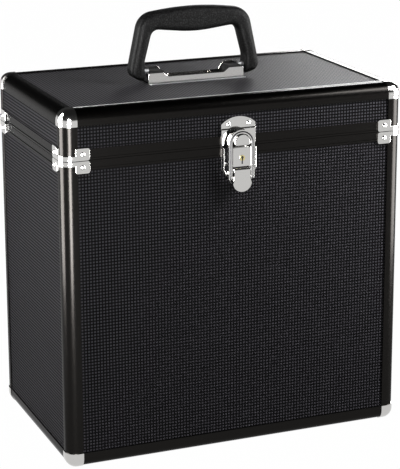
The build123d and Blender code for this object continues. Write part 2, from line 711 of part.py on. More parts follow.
# ---------------------------------------------------------------- assembly
def build_half(prefix, lid):
    """Panels, edging, corners, brackets and lining of the base or the lid."""
    z0, z1 = (LID_BOTTOM, TOP) if lid else (BOTTOM, BASE_TOP)
    panel0 = LID_BOTTOM + RIM_CAP if lid else BOTTOM + CORE
    panel1 = TOP - CORE if lid else BASE_TOP - RIM_CAP
    post0 = z0 if lid else z0 + LEG
    post1 = z1 - LEG if lid else z1
    edge = "top" if lid else "bottom"
    for side, name in ((-1, "front"), (1, "back")):
        parts[f"{prefix}_{name}_panel"] = wall_panel(side, True, panel0, panel1)
        parts[f"{prefix}_{edge}_rail_{name}"] = edging_rail(side, True, lid)
        parts[f"{prefix}_rim_{name}"] = rim(side, True, lid)
    for side, name in ((-1, "left"), (1, "right")):
        parts[f"{prefix}_{name}_panel"] = wall_panel(side, False, panel0, panel1)
        parts[f"{prefix}_{edge}_rail_{name}"] = edging_rail(side, False, lid)
        parts[f"{prefix}_rim_{name}"] = rim(side, False, lid)
    for side_x, side_y, name in SIDES:
        parts[f"{prefix}_post_{name}"] = edging_post(side_x, side_y, post0, post1)
    flat0 = TOP - PANEL_IN if lid else BOTTOM + SHEET
    parts[f"{prefix}_{edge}_panel"] = flat_panel(flat0, flat0 + PANEL)
    parts[f"{prefix}_ball_corners"] = group([ball_corner(x, y, lid) for x, y, _ in SIDES])
    parts[f"{prefix}_seam_brackets"] = group([bracket(x, y, lid) for x, y, _ in SIDES])
    parts[f"{prefix}_lining"] = lining(lid)
    parts[f"{prefix}_hinge_leaves"] = group([hinge_leaf(x, lid) for x in (-HINGE_X, HINGE_X)])
    parts[f"{prefix}_rivets"] = group(half_rivets(lid))


def half_rivets(lid):
    """Every rivet of one half."""
    result = bracket_rivets(lid)
    for x in (-HINGE_X, HINGE_X):
        for rivet_x, height in hinge_rivets(x, lid):
            result.append(face_rivet((0, 1, 0), rivet_x, BACK + PLATE_SHEET, height))
    seat = FRONT - PLATE_SHEET + (SHEET if lid else 0)
    for x, height in STRIKE_RIVETS if lid else BASE_PLATE_RIVETS:
        result.append(face_rivet((0, -1, 0), x, seat, SEAM + height))
    if lid:
        for x in CHANNEL_RIVET_X:
            z = channel_floor() + CHANNEL_SHEET
            result.append(face_rivet((0, 0, 1), HANDLE_X + x, CASE_Y, z))
    return result


def build():
    """Every part of the case."""
    build_half("base", False)
    build_half("lid", True)
    feet = foot_places()
    parts["rubber_feet"] = group([rubber_foot(x, y) for x, y in feet])
    parts["foot_screws"] = group([foot_screw(x, y) for x, y in feet])
    parts["hinge_pins"] = group([hinge_pin(x) for x in (-HINGE_X, HINGE_X)])
    parts["latch_base_plate"] = base_plate()
    parts["latch_lock_box"] = lock_box()
    parts["latch_lever_pin"] = lever_pin()
    parts["latch_lever"] = lever()
    parts["latch_bail"] = bail()
    parts["latch_strike_plate"] = strike_plate()
    parts["lock_plug"] = lock_plug()
    parts["lock_bolt"] = lock_bolt()
    aside = Pos(HANDLE_X, 0, 0)
    parts["handle_channel"] = aside * channel()
    parts["handle_pins"] = group([aside * handle_pin(side) for side in (-1, 1)])
    parts["handle_grip"] = aside * grip()


build()
os.makedirs("parts", exist_ok=True)
for node, shape in parts.items():
    export_step(shape, f"parts/{node}.step")
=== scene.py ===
"""Dresses the record carrying case: laminate, anodised edging, chromed fittings and a grained grip.

Lengths are in millimetres until a mesh is placed, and Blender's metres after that.
"""
import logging
import math
from dataclasses import dataclass, field
from enum import Enum
from typing import Callable, Sequence

import bmesh
import bpy
from mathutils import Matrix, Vector


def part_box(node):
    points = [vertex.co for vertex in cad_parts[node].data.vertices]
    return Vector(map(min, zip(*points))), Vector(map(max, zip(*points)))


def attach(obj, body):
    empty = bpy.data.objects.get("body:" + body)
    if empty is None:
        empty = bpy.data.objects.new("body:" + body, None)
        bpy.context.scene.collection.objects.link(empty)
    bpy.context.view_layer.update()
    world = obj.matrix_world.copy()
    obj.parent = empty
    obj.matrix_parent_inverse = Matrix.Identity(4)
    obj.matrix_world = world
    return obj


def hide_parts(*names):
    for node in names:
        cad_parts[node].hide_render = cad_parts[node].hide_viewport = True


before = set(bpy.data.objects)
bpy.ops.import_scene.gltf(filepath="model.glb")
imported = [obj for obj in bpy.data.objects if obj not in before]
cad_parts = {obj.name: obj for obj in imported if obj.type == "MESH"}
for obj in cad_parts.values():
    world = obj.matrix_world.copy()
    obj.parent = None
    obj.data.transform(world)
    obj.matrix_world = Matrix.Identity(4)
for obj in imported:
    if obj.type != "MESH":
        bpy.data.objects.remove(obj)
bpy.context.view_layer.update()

logging.basicConfig(level=logging.INFO, format="%(message)s")
LOG = logging.getLogger("case")

MM = 0.001
TOUCH = 1e-4  # closer than this, in millimetres, two places are one
MERGE = 0.001  # points closer than this are merged
ON_FACE = 0.02  # how far a CAD point may lie from a face that it belongs to
OVERLAP = 0.1  # how far joined sheets reach into each other
CORNER_STEPS = 5
RIM_STEPS = 3
ARC_STEPS = 18
FLAT, STEEP = 0.9, 0.5  # a normal's z part above or below which a face lies flat or stands
WHITE = (1.0, 1.0, 1.0, 1.0)
Point = tuple[float, float]
Triple = tuple[float, float, float]
RoundPoint = tuple[float, float, float]  # x, y and the corner's radius
Mesh = bmesh.types.BMesh
Edge = bmesh.types.BMEdge
Material = bpy.types.Material
Socket = bpy.types.NodeSocket


# ---- places read from the frame
def corners_mm(node: str) -> tuple[Vector, Vector]:
    """Lowest and highest corner of a CAD node, in millimetres."""
    low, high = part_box(node)
    return Vector(low) / MM, Vector(high) / MM


@dataclass(frozen=True)
class Case:
    """The case's outer faces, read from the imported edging."""

    left: float
    right: float
    front: float
    back: float
    bottom: float
    top: float
    base_top: float
    lid_bottom: float

    @classmethod
    def from_frame(cls) -> "Case":
        """Reads the outer faces from the posts and rails.

        Returns:
            The case's faces in millimetres.
        """
        low, high = corners_mm("base_post_front_left")
        _, far_high = corners_mm("base_post_back_right")
        lid_low, _ = corners_mm("lid_post_front_left")
        rail_low, _ = corners_mm("base_bottom_rail_front")
        _, rail_high = corners_mm("lid_top_rail_front")
        return cls(low.x, far_high.x, low.y, far_high.y, rail_low.z, rail_high.z, high.z, lid_low.z)

    @property
    def middle_y(self) -> float:
        """Halfway between the front and the back face."""
        return (self.front + self.back) / 2

    @property
    def seam(self) -> float:
        """Halfway between base and lid."""
        return (self.base_top + self.lid_bottom) / 2


CASE = Case.from_frame()


class Body(str, Enum):
    """The bodies that a piece can ride on."""

    BASE = "base"
    LID = "lid"
    GRIP = "grip"
    LEVER = "lever"
    BAIL = "bail"
    PLUG = "plug"
    BOLT = "bolt"


# ---- node helpers
def linear(hex_colour: str) -> tuple[float, float, float, float]:
    """Turns an sRGB hex colour to linear.

    Args:
        hex_colour: Six hex digits.

    Returns:
        Linear red, green, blue and alpha.
    """
    channels = [int(hex_colour[i:i + 2], 16) / 255 for i in (0, 2, 4)]
    out = [c / 12.92 if c <= 0.04045 else ((c + 0.055) / 1.055) ** 2.4 for c in channels]
    return (out[0], out[1], out[2], 1.0)


def set_inputs(tree: bpy.types.NodeTree, node: bpy.types.Node, inputs: dict) -> None:
    """Sets a node's inputs.

    Args:
        tree: The node tree.
        node: The node.
        inputs: Values, or output sockets to link, by input name or index.
    """
    for key, value in inputs.items():
        if isinstance(value, Socket):
            tree.links.new(value, node.inputs[key])
        else:
            node.inputs[key].default_value = value


def add_node(tree: bpy.types.NodeTree, kind: str, settings: dict | None = None,
             inputs: dict | None = None) -> bpy.types.Node:
    """Adds a shader node with its settings and links.

    Args:
        tree: The node tree.
        kind: The node's type name.
        settings: Values for the node's own properties.
        inputs: Its inputs, as set_inputs takes them.

    Returns:
        The new node.
    """
    node = tree.nodes.new(kind)
    for name, value in (settings or {}).items():
        setattr(node, name, value)
    set_inputs(tree, node, inputs or {})
    return node


def start_material(name: str) -> tuple[Material, bpy.types.NodeTree, bpy.types.Node]:
    """Makes a material with one shader, and gives its tree and shader.

    Args:
        name: The material's name.

    Returns:
        The material, its node tree and its shader.
    """
    material = bpy.data.materials.new(name)
    material.use_nodes = True
    tree = material.node_tree
    shader = tree.nodes["Principled BSDF"]
    return material, tree, shader


def object_mm(tree: bpy.types.NodeTree) -> Socket:
    """Object coordinates in millimetres.

    Args:
        tree: The node tree.

    Returns:
        The socket that gives them.
    """
    coordinates = add_node(tree, "ShaderNodeTexCoord")
    scaled = add_node(tree, "ShaderNodeVectorMath", {"operation": "SCALE"},
                      {0: coordinates.outputs["Object"], "Scale": 1 / MM})
    return scaled.outputs["Vector"]


# ---- finishes
class Face(Enum):
    """The two axes that a panel's pattern runs along."""

    FRONT = (0, 2)
    SIDE = (1, 2)
    TOP = (0, 1)


@dataclass(frozen=True)
class EmbossedLaminate:
    """Melamine laminate pressed with a grid of small square pips: dark, with a dull sheen on the pips."""

    pitch_mm: float = 3.3
    valley: str = "040405"
    pip: str = "48464B"
    rise_mm: float = 0.16
    pip_rise: Point = (-0.7, 0.6)
    roughness: Point = (0.62, 0.38)
    specular: float = 0.015
    # The top boards' copy of the laminate gets more specular than the others: a painted sheen.
    top_painted_sheen: float = 0.13
    bump: float = 0.6

    def build(self, face: Face) -> Material:
        """Makes the laminate for one direction of panel.

        Args:
            face: The two axes of the panel.

        Returns:
            The laminate, with dull valleys and slightly brighter pips.
        """
        material, tree, shader = start_material(f"embossed_laminate_{face.name.lower()}")
        place = add_node(tree, "ShaderNodeSeparateXYZ", inputs={0: object_mm(tree)})
        waves = []
        for axis in face.value:
            turn = add_node(tree, "ShaderNodeMath", {"operation": "MULTIPLY"},
                            {0: place.outputs[axis], 1: 2 * math.pi / self.pitch_mm})
            wave = add_node(tree, "ShaderNodeMath", {"operation": "SINE"}, {0: turn.outputs[0]})
            soft = add_node(tree, "ShaderNodeMapRange", {"interpolation_type": "SMOOTHSTEP"},
                            {0: wave.outputs[0], 1: self.pip_rise[0], 2: self.pip_rise[1]})
            waves.append(soft.outputs[0])
        pips = add_node(tree, "ShaderNodeMath", {"operation": "MULTIPLY"}, {0: waves[0], 1: waves[1]})
        colour = add_node(tree, "ShaderNodeMix", {"data_type": "RGBA"},
                          {0: pips.outputs[0], 6: linear(self.valley), 7: linear(self.pip)})
        rough = add_node(tree, "ShaderNodeMapRange",
                         inputs={0: pips.outputs[0], 3: self.roughness[0], 4: self.roughness[1]})
        bump = add_node(tree, "ShaderNodeBump", inputs={"Height": pips.outputs[0], "Strength": self.bump,
                                                        "Distance": self.rise_mm * MM})
        # The top's copy has more specular than the front and sides: a painted sheen.
        sheen = self.top_painted_sheen if face is Face.TOP else self.specular
        set_inputs(tree, shader, {"Base Color": colour.outputs[2], "Roughness": rough.outputs[0],
                                  "Normal": bump.outputs[0], "Specular IOR Level": sheen})
        return material


@dataclass(frozen=True)
class BrushedMetal:
    """A metal with faint drawn lines or polishing marks, which break up its highlights a little.

    The marks are drawn far coarser than polishing leaves them, so that they show.
    """

    name: str
    colour: str
    roughness: float
    mark_mm: float
    spread: float
    rim_tint: float = 1.0
    mark_depth_mm: float = 0.02
    mark_range: Point = (0.3, 0.7)
    bump: float = 0.12

    def build(self) -> Material:
        """Makes the metal, with roughness that varies from mark to mark.

        Returns:
            The metal's material.
        """
        material, tree, shader = start_material(self.name)
        marks = add_node(tree, "ShaderNodeTexNoise", {"noise_dimensions": "3D"},
                         {"Vector": object_mm(tree), "Scale": 1 / self.mark_mm, "Detail": 3.0})
        rough = add_node(tree, "ShaderNodeMapRange",
                         inputs={0: marks.outputs["Fac"], 1: self.mark_range[0], 2: self.mark_range[1],
                                 3: self.roughness - self.spread, 4: self.roughness + self.spread})
        bump = add_node(tree, "ShaderNodeBump", inputs={"Height": marks.outputs["Fac"], "Strength": self.bump,
                                                        "Distance": self.mark_depth_mm * MM})
        set_inputs(tree, shader, {"Base Color": linear(self.colour), "Metallic": 1.0,
                                  "Specular Tint": (self.rim_tint,) * 3 + (1.0,),
                                  "Roughness": rough.outputs[0], "Normal": bump.outputs[0]})
        return material


@dataclass(frozen=True)
class GrainedPlastic:
    """Moulded plastic, rubber or felt with a fine grain: dark, with small soft glints."""

    name: str
    colour: str
    grain_mm: float
    roughness: float
    depth_mm: float
    specular: float = 0.1
    crest_colour: str | None = None
    crest_heights: Point = (0.45, 0.95)
    rough_spread: float = 0.08
    bump: float = 0.5

    def build(self) -> Material:
        """Makes the grain from cells, for the creases, and noise, for the pores.

        Returns:
            The grained material.
        """
        material, tree, shader = start_material(self.name)
        place = object_mm(tree)
        cells = add_node(tree, "ShaderNodeTexVoronoi", {"feature": "DISTANCE_TO_EDGE"},
                         {"Vector": place, "Scale": 1 / self.grain_mm})
        pores = add_node(tree, "ShaderNodeTexNoise", inputs={"Vector": place, "Scale": 2 / self.grain_mm})
        height = add_node(tree, "ShaderNodeMath", {"operation": "ADD"},
                          {0: cells.outputs["Distance"], 1: pores.outputs["Fac"]})
        bump = add_node(tree, "ShaderNodeBump", inputs={"Height": height.outputs[0], "Strength": self.bump,
                                                        "Distance": self.depth_mm * MM})
        spread = self.rough_spread
        rough = add_node(tree, "ShaderNodeMapRange", inputs={
            0: pores.outputs["Fac"], 3: self.roughness - spread, 4: self.roughness + spread})
        crest = linear(self.crest_colour or self.colour)
        worn = add_node(tree, "ShaderNodeMapRange", {"interpolation_type": "SMOOTHSTEP"},
                        {0: height.outputs[0], 1: self.crest_heights[0], 2: self.crest_heights[1]})
        colour = add_node(tree, "ShaderNodeMix", {"data_type": "RGBA"},
                          {0: worn.outputs[0], 6: linear(self.colour), 7: crest})
        set_inputs(tree, shader, {"Base Color": colour.outputs[2], "Roughness": rough.outputs[0],
                                  "Normal": bump.outputs[0], "Specular IOR Level": self.specular})
        return material


@dataclass
class Finishes:
    """Every material of the case, built once."""

    laminate: dict[Face, Material] = field(
        default_factory=lambda: {face: EmbossedLaminate().build(face) for face in Face})
    # Satin and nearly black, so that only strong lights draw bands on its rounds.
    edging: Material = field(default_factory=BrushedMetal(
        "black_anodised_aluminium", "1B1A19", 0.22, 0.9, 0.04, 0.6).build)
    # Bright and mirror-like: it shows the room in black and white.
    chrome: Material = field(default_factory=BrushedMetal("chromed_steel", "C0BFBD", 0.10, 1.4, 0.03).build)
    # Grey and soft, next to the chrome; on the handle's flanges, its darker grey is painted shade.
    steel: Material = field(default_factory=BrushedMetal("zinc_plated_steel_and_painted_shade", "A5A6A8", 0.34, 0.8, 0.06).build)
    # Chrome painted almost black: painted shade for recesses that little light reaches.
    shade: Material = field(default_factory=BrushedMetal(
        "chrome_painted_dark_as_shade", "2B2B2C", 0.35, 1.4, 0.05).build)
    # A pale matt line along the end of the front top rail's upper leg: a painted highlight.
    painted_highlight_edge: Material = field(default_factory=BrushedMetal(
        "aluminium_painted_highlight", "ABABAA", 0.42, 0.8, 0.06).build)
    # Pale yellow, with a sharp glint.
    brass: Material = field(default_factory=BrushedMetal("polished_brass", "C8BC8C", 0.2, 0.8, 0.04).build)
    # Black, with grey crests that give a fine mottle.
    grip: Material = field(default_factory=GrainedPlastic(
        "grained_polypropylene", "040404", 2.4, 0.5, 0.10, 0.045, "262626").build)
    # Dark and without shine: rubber for the feet, and painted shade for the keyhole, the keyway and the
    # channel's end blocks.
    rubber: Material = field(default_factory=GrainedPlastic("moulded_rubber_and_painted_shade", "141414", 0.9, 0.7, 0.05).build)
    # Dark and fibrous.
    felt: Material = field(default_factory=GrainedPlastic("felt_on_foam", "1B1B1D", 0.7, 0.95, 0.25).build)


# ---- mesh helpers
def add_object(name: str, data: bpy.types.ID) -> bpy.types.Object:
    """Makes an object at the origin, and puts it in the scene.

    Args:
        name: The object's name.
        data: Its mesh, lamp or camera.

    Returns:
        The object.
    """
    made = bpy.data.objects.new(name, data)
    bpy.context.scene.collection.objects.link(made)
    return made


def mesh_of(name: str, bm: Mesh) -> bpy.types.Mesh:
    """Turns a bmesh into a mesh, and frees it.

    Args:
        name: The mesh's name.
        bm: The bmesh.

    Returns:
        The mesh.
    """
    mesh = bpy.data.meshes.new(name)
    bm.to_mesh(mesh)
    bm.free()
    return mesh


def move(bm: Mesh, matrix: Matrix) -> Mesh:
    """Moves a whole bmesh, and gives it back."""
    bmesh.ops.transform(bm, matrix=matrix, verts=bm.verts)
    return bm


def finish_piece(name: str, bm: Mesh, material: Material, body: Body,
                 replaced: Sequence[str] = (), smooth_deg: float = 35.0) -> bpy.types.Object:
    """Turns a bmesh in millimetres into a placed piece.

    Args:
        name: The piece's name.
        bm: Its mesh, which is freed.
        material: Its finish.
        body: The body it rides on.
        replaced: CAD nodes that it stands for.
        smooth_deg: Edges sharper than this stay crisp.

    Returns:
        The new object.
    """
    bmesh.ops.remove_doubles(bm, verts=bm.verts, dist=MERGE)
    bmesh.ops.recalc_face_normals(bm, faces=bm.faces)
    bmesh.ops.scale(bm, vec=(MM, MM, MM), verts=bm.verts)
    mesh = mesh_of(name, bm)
    mesh.shade_smooth()
    mesh.set_sharp_from_angle(angle=math.radians(smooth_deg))
    mesh.materials.append(material)
    piece = add_object(name, mesh)
    even = piece.modifiers.new("even_shading", "WEIGHTED_NORMAL")
    even.keep_sharp = True
    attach(piece, body.value)
    if replaced:
        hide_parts(*replaced)
    LOG.info("%s rides on %s", name, body.value)
    return piece


def dress(node: str, material: Material) -> None:
    """Gives a kept CAD node its finish, through its object's material slots.

    Args:
        node: The CAD node's name.
        material: Its finish.
    """
    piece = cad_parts[node]
    if not piece.material_slots:
        piece.data.materials.append(material)
    for material_slot in piece.material_slots:
        material_slot.link = "OBJECT"
        material_slot.material = material


def round_edges(bm: Mesh, edges: Sequence[Edge], offset: float, segments: int, clamp: bool = True) -> None:
    """Rounds edges.

    Args:
        bm: The mesh to change.
        edges: The edges to round.
        offset: How far the rounding reaches from each edge.
        segments: Steps in the rounding.
        clamp: Whether a rounding stops where it would meet another.
    """
    bmesh.ops.bevel(bm, geom=edges, offset=offset, affect="EDGES", segments=segments, profile=0.5, material=-1,
                    clamp_overlap=clamp)


def prism(outline: Sequence[RoundPoint], low: float, high: float, soft: float = 0.0,
          both_rims: bool = False) -> Mesh:
    """A flat piece with rounded corners and softened rims.

    Args:
        outline: Corners as (x, y, radius), anticlockwise.
        low: Height of its lower face.
        high: Height of its upper face.
        soft: Rounding of the rim.
        both_rims: Whether the lower rim is rounded as the upper one is.

    Returns:
        The piece's mesh.
    """
    bm = bmesh.new()
    base = bm.faces.new([bm.verts.new((x, y, low)) for x, y, _ in outline])
    made = bmesh.ops.extrude_face_region(bm, geom=[base], use_keep_orig=True)["geom"]
    raised = [item for item in made if isinstance(item, bmesh.types.BMVert)]
    bmesh.ops.translate(bm, verts=raised, vec=(0, 0, high - low))
    bmesh.ops.recalc_face_normals(bm, faces=bm.faces)
    rounded: dict[float, list[Edge]] = {}
    for index, (x, y, radius) in enumerate(outline):
        if radius <= 0:
            continue
        before = Vector(outline[index - 1][:2])
        after = Vector(outline[(index + 1) % len(outline)][:2])
        here = Vector((x, y))
        turn = (here - before).angle(after - here)
        offset = round(radius * math.tan(turn / 2), 4)
        for edge in bm.edges:
            upright = abs(edge.verts[0].co.z - edge.verts[1].co.z) > TOUCH
            if upright and all((vert.co.xy - here).length < TOUCH for vert in edge.verts):
                rounded.setdefault(offset, []).append(edge)
    for offset, edges in rounded.items():
        round_edges(bm, edges, offset, CORNER_STEPS)
    if soft > 0:
        bmesh.ops.recalc_face_normals(bm, faces=bm.faces)
        for level in ([low, high] if both_rims else [high]):
            soften_level(bm, level, soft)
    return bm


def soften_level(bm: Mesh, level: float, soft: float) -> None:
    """Rounds the rim edges that lie at a given height.

    Args:
        bm: The mesh to change.
        level: The height.
        soft: The rounding.
    """
    rim = []
    for edge in bm.edges:
        flat = all(abs(vert.co.z - level) < TOUCH for vert in edge.verts)
        if flat and len(edge.link_faces) == 2:
            tilts = [abs(face.normal.z) for face in edge.link_faces]
            if max(tilts) > FLAT and min(tilts) < STEEP:
                rim.append(edge)
    if rim:
        round_edges(bm, rim, soft, RIM_STEPS)


def soften_sharp(bm: Mesh, soft: float, sharp_deg: float = 50.0, segments: int = 2,
                 keep: Callable[[Edge], bool] | None = None) -> None:
    """Rounds every sharp edge of a closed mesh a little.

    Args:
        bm: The mesh to change.
        soft: The rounding.
        sharp_deg: Edges that turn more than this are rounded.
        segments: Steps in the rounding.
        keep: Says whether an edge is one to round, where not all are.
    """
    bmesh.ops.recalc_face_normals(bm, faces=bm.faces)
    edges = [edge for edge in bm.edges
             if len(edge.link_faces) == 2 and edge.calc_face_angle() > math.radians(sharp_deg)
             and (keep is None or keep(edge))]
    round_edges(bm, edges, soft, segments)


def face_out(bm: Mesh, inside: Triple) -> None:
    """Turns the faces of a bent sheet away from a point inside its bend.

    Args:
        bm: The sheet.
        inside: The point.
    """
    bmesh.ops.recalc_face_normals(bm, faces=bm.faces)
    if sum(face.normal.dot(face.calc_center_median() - Vector(inside)) for face in bm.faces) < 0:
        bmesh.ops.reverse_faces(bm, faces=bm.faces)


def copy_of(node: str) -> Mesh:
    """A CAD node's mesh in millimetres, merged, with its flat faces whole.

    Args:
        node: The CAD node's name.

    Returns:
        A copy, so that the node itself stays as it is.
    """
    bm = bmesh.new()
    bm.from_mesh(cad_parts[node].data)
    bmesh.ops.scale(bm, vec=(1 / MM, 1 / MM, 1 / MM), verts=bm.verts)
    bmesh.ops.remove_doubles(bm, verts=bm.verts, dist=2 * MERGE)
    bmesh.ops.dissolve_limit(bm, angle_limit=math.radians(0.5), verts=bm.verts, edges=bm.edges)
    return bm


def join(meshes: Sequence[Mesh]) -> Mesh:
    """Puts several meshes in one, and frees them.

    Args:
        meshes: The meshes to put together.

    Returns:
        The one mesh.
    """
    whole = bmesh.new()
    for part_mesh in meshes:
        holder = mesh_of("holder", part_mesh)
        whole.from_mesh(holder)
        bpy.data.meshes.remove(holder)
    return whole


def axes(first: Triple, second: Triple, third: Triple, place: Triple = (0, 0, 0)) -> Matrix:
    """The move that takes X, Y and Z to three directions, and the origin to a place."""
    return Matrix([*zip(first, second, third, place), (0, 0, 0, 1)])


def at_corners(shape: Callable[[], Mesh], level: float, up: int) -> Mesh:
    """Sets four copies of a shape on the upright corners of the case.

    Args:
        shape: Makes one copy, with its outer corner at the origin and itself towards +X, +Y and +Z.
        level: Height of the corner.
        up: 1 where the copies stand upwards, -1 where they hang.

    Returns:
        The four copies in one mesh.
    """
    copies = []
    for x, side_x in ((CASE.left, 1), (CASE.right, -1)):
        for y, side_y in ((CASE.front, 1), (CASE.back, -1)):
            matrix = axes((side_x, 0, 0), (0, side_y, 0), (0, 0, up), (x, y, level))
            copies.append(move(shape(), matrix))
    return join(copies)


def on_front(bm: Mesh) -> Mesh:
    """Stands a flat drawing (x, height from the seam, out) on the case's front face."""
    turn = Matrix.Rotation(math.pi / 2, 4, "X")
    return move(bm, Matrix.Translation((0, CASE.front, CASE.seam)) @ turn)


def arc(centre: Point, radius: float, start_deg: float, end_deg: float, steps: int) -> list[RoundPoint]:
    """Points of an arc, as plain outline corners.

    Args:
        centre: The arc's centre.
        radius: Its radius.
        start_deg: Angle of its first point.
        end_deg: Angle of its last point.
        steps: Number of spans.

    Returns:
        Corners with no rounding of their own.
    """
    points = []
    for step in range(steps + 1):
        angle = math.radians(start_deg + (end_deg - start_deg) * step / steps)
        points.append((centre[0] + radius * math.cos(angle), centre[1] + radius * math.sin(angle), 0.0))
    return points


# ---- panels
@dataclass
class Panels:
    """The boards, kept from the CAD, in laminate."""

    faces: tuple[tuple[str, Face], ...] = (
        ("front", Face.FRONT), ("back", Face.FRONT), ("left", Face.SIDE), ("right", Face.SIDE))

    def build(self, finishes: Finishes) -> None:
        """Dresses every board by its direction.

        Args:
            finishes: The case's materials.
        """
        for side, face in self.faces:
            for half in ("base", "lid"):
                dress(f"{half}_{side}_panel", finishes.laminate[face])
        # Top and bottom boards take the laminate copy with the painted sheen.
        for node in ("lid_top_panel", "base_bottom_panel"):
            dress(node, finishes.laminate[Face.TOP])


# ---- edging
@dataclass
class Edging:
    """Posts, rails and rims of drawn aluminium, with a broad round on their outer corner."""

    leg: float = 16.0
    sheet: float = 1.2
    core: float = 11.0
    board: float = 7.0
    round_steps: int = 12
    lip: float = 0.35
    # Width and height of the pale lip, a painted highlight.
    pale_lip_size: Point = (1.2, 0.45)

    def section(self) -> list[Point]:
        """The double-angle section, with its outer corner at the origin.

        Returns:
            Its corners, anticlockwise.
        """
        near = self.sheet + self.board
        far = near + self.sheet
        half = [(self.leg, 0), (self.leg, self.sheet), (self.core, self.sheet), (self.core, near),
                (self.leg, near), (self.leg, far), (self.core, far)]
        other = [(y, x) for x, y in reversed(half)]
        return [(0, 0), *half, (self.core, self.core), *other]

    def bar(self, length: float) -> Mesh:
        """One length of edging, rounded along its outer corner.

        Args:
            length: Its length in millimetres.

        Returns:
            The bar, standing on z = 0.
        """
        bm = prism([(x, y, 0.0) for x, y in self.section()], 0.0, length)
        outer = [edge for edge in bm.edges if all(vert.co.xy.length < TOUCH for vert in edge.verts)]
        round_edges(bm, outer, self.core - 0.01, self.round_steps, clamp=False)
        lips = []
        for edge in bm.edges:
            along = abs(edge.verts[0].co.z - edge.verts[1].co.z) > TOUCH
            x, y = edge.verts[0].co.xy
            if along and abs(max(x, y) - self.leg) < TOUCH and min(x, y) < TOUCH:
                lips.append(edge)
        round_edges(bm, lips, self.lip, 2, clamp=False)
        return bm

    def stand(self, node: str) -> tuple[Matrix, float]:
        """Reads where one post or rail stands.

        Args:
            node: The CAD node's name, which tells its half, and its corner or side.

        Returns:
            The move that takes a bar there, and the bar's length.
        """
        low, high = corners_mm(node)
        right, back, top = node.endswith("right"), "_back" in node, "_top_" in node
        corner = (high.x if right else low.x, high.y if back else low.y, high.z if top else low.z)
        inwards = (-1 if right else 1, 0, 0), (0, -1 if back else 1, 0), (0, 0, -1 if top else 1)
        if "_post_" in node:
            return axes(*inwards, corner), high.z - low.z
        if node.endswith(("left", "right")):
            return axes(inwards[0], inwards[2], (0, 1, 0), corner), high.y - low.y
        return axes(inwards[1], inwards[2], (1, 0, 0), corner), high.x - low.x

    def pale_highlight_lip(self) -> Mesh:
        """The pale lip at the end of the front top rail's upper leg, a hair proud of the board: a painted
        highlight.

        Returns:
            The lip's mesh.
        """
        width, proud = self.pale_lip_size
        far = CASE.front + self.leg + 0.3
        left, right = CASE.left + self.leg, CASE.right - self.leg
        return prism([(left, far - width, 0), (right, far - width, 0), (right, far, 0), (left, far, 0)],
                     CASE.top - 0.6, CASE.top + proud, soft=0.2)

    def build(self, finishes: Finishes) -> None:
        """Replaces every post and rail, and dresses the rims.

        Args:
            finishes: The case's materials.
        """
        # The pale lip along the front top rail is a painted highlight.
        finish_piece("lid_top_rail_painted_highlight", self.pale_highlight_lip(), finishes.painted_highlight_edge, Body.LID)
        corners = ("front_left", "front_right", "back_left", "back_right")
        sides = ("front", "back", "left", "right")
        for body, edge in ((Body.BASE, "bottom"), (Body.LID, "top")):
            half = body.value
            posts = [f"{half}_post_{corner}" for corner in corners]
            for node in posts + [f"{half}_{edge}_rail_{side}" for side in sides]:
                matrix, length = self.stand(node)
                finish_piece(f"{node}_drawn", move(self.bar(length), matrix), finishes.edging, body,
                             [node])
            for side in sides:
                dress(f"{half}_rim_{side}", finishes.edging)


# ---- corner fittings
@dataclass
class BallCorners:
    """Chromed caps, round on the three edges of each corner."""

    leg: float = 16.0
    proud: float = 0.8
    reach: float = 11.79
    sheet: float = 1.2
    steps: int = 8

    def cap(self) -> Mesh:
        """One cap with its outer corner towards the origin.

        Returns:
            The cap's mesh.
        """
        bm = bmesh.new()
        bmesh.ops.create_cube(bm, size=self.leg + self.proud)
        shift = (self.leg - self.proud) / 2
        bmesh.ops.translate(bm, verts=bm.verts, vec=(shift, shift, shift))
        low = -self.proud
        near = [edge for edge in bm.edges
                if all(sum(abs(c - low) < TOUCH for c in vert.co) >= 2 for vert in edge.verts)]
        round_edges(bm, near, self.reach, self.steps, clamp=False)
        far_faces = [face for face in bm.faces if max(face.normal) > 0.99
                     and max(face.calc_center_median()) > self.leg - MERGE]
        bmesh.ops.delete(bm, geom=far_faces, context="FACES_ONLY")
        face_out(bm, (self.leg / 2,) * 3)
        bmesh.ops.solidify(bm, geom=bm.faces[:], thickness=self.sheet + self.proud - 0.3)
        return bm

    def build(self, finishes: Finishes) -> None:
        """Puts four caps on the lid and four on the base.

        Args:
            finishes: The case's materials.
        """
        for body, level, up in ((Body.BASE, CASE.bottom, 1), (Body.LID, CASE.top, -1)):
            node = f"{body.value}_ball_corners"
            finish_piece(f"{node}_pressed", at_corners(self.cap, level, up), finishes.chrome, body,
                         [node])


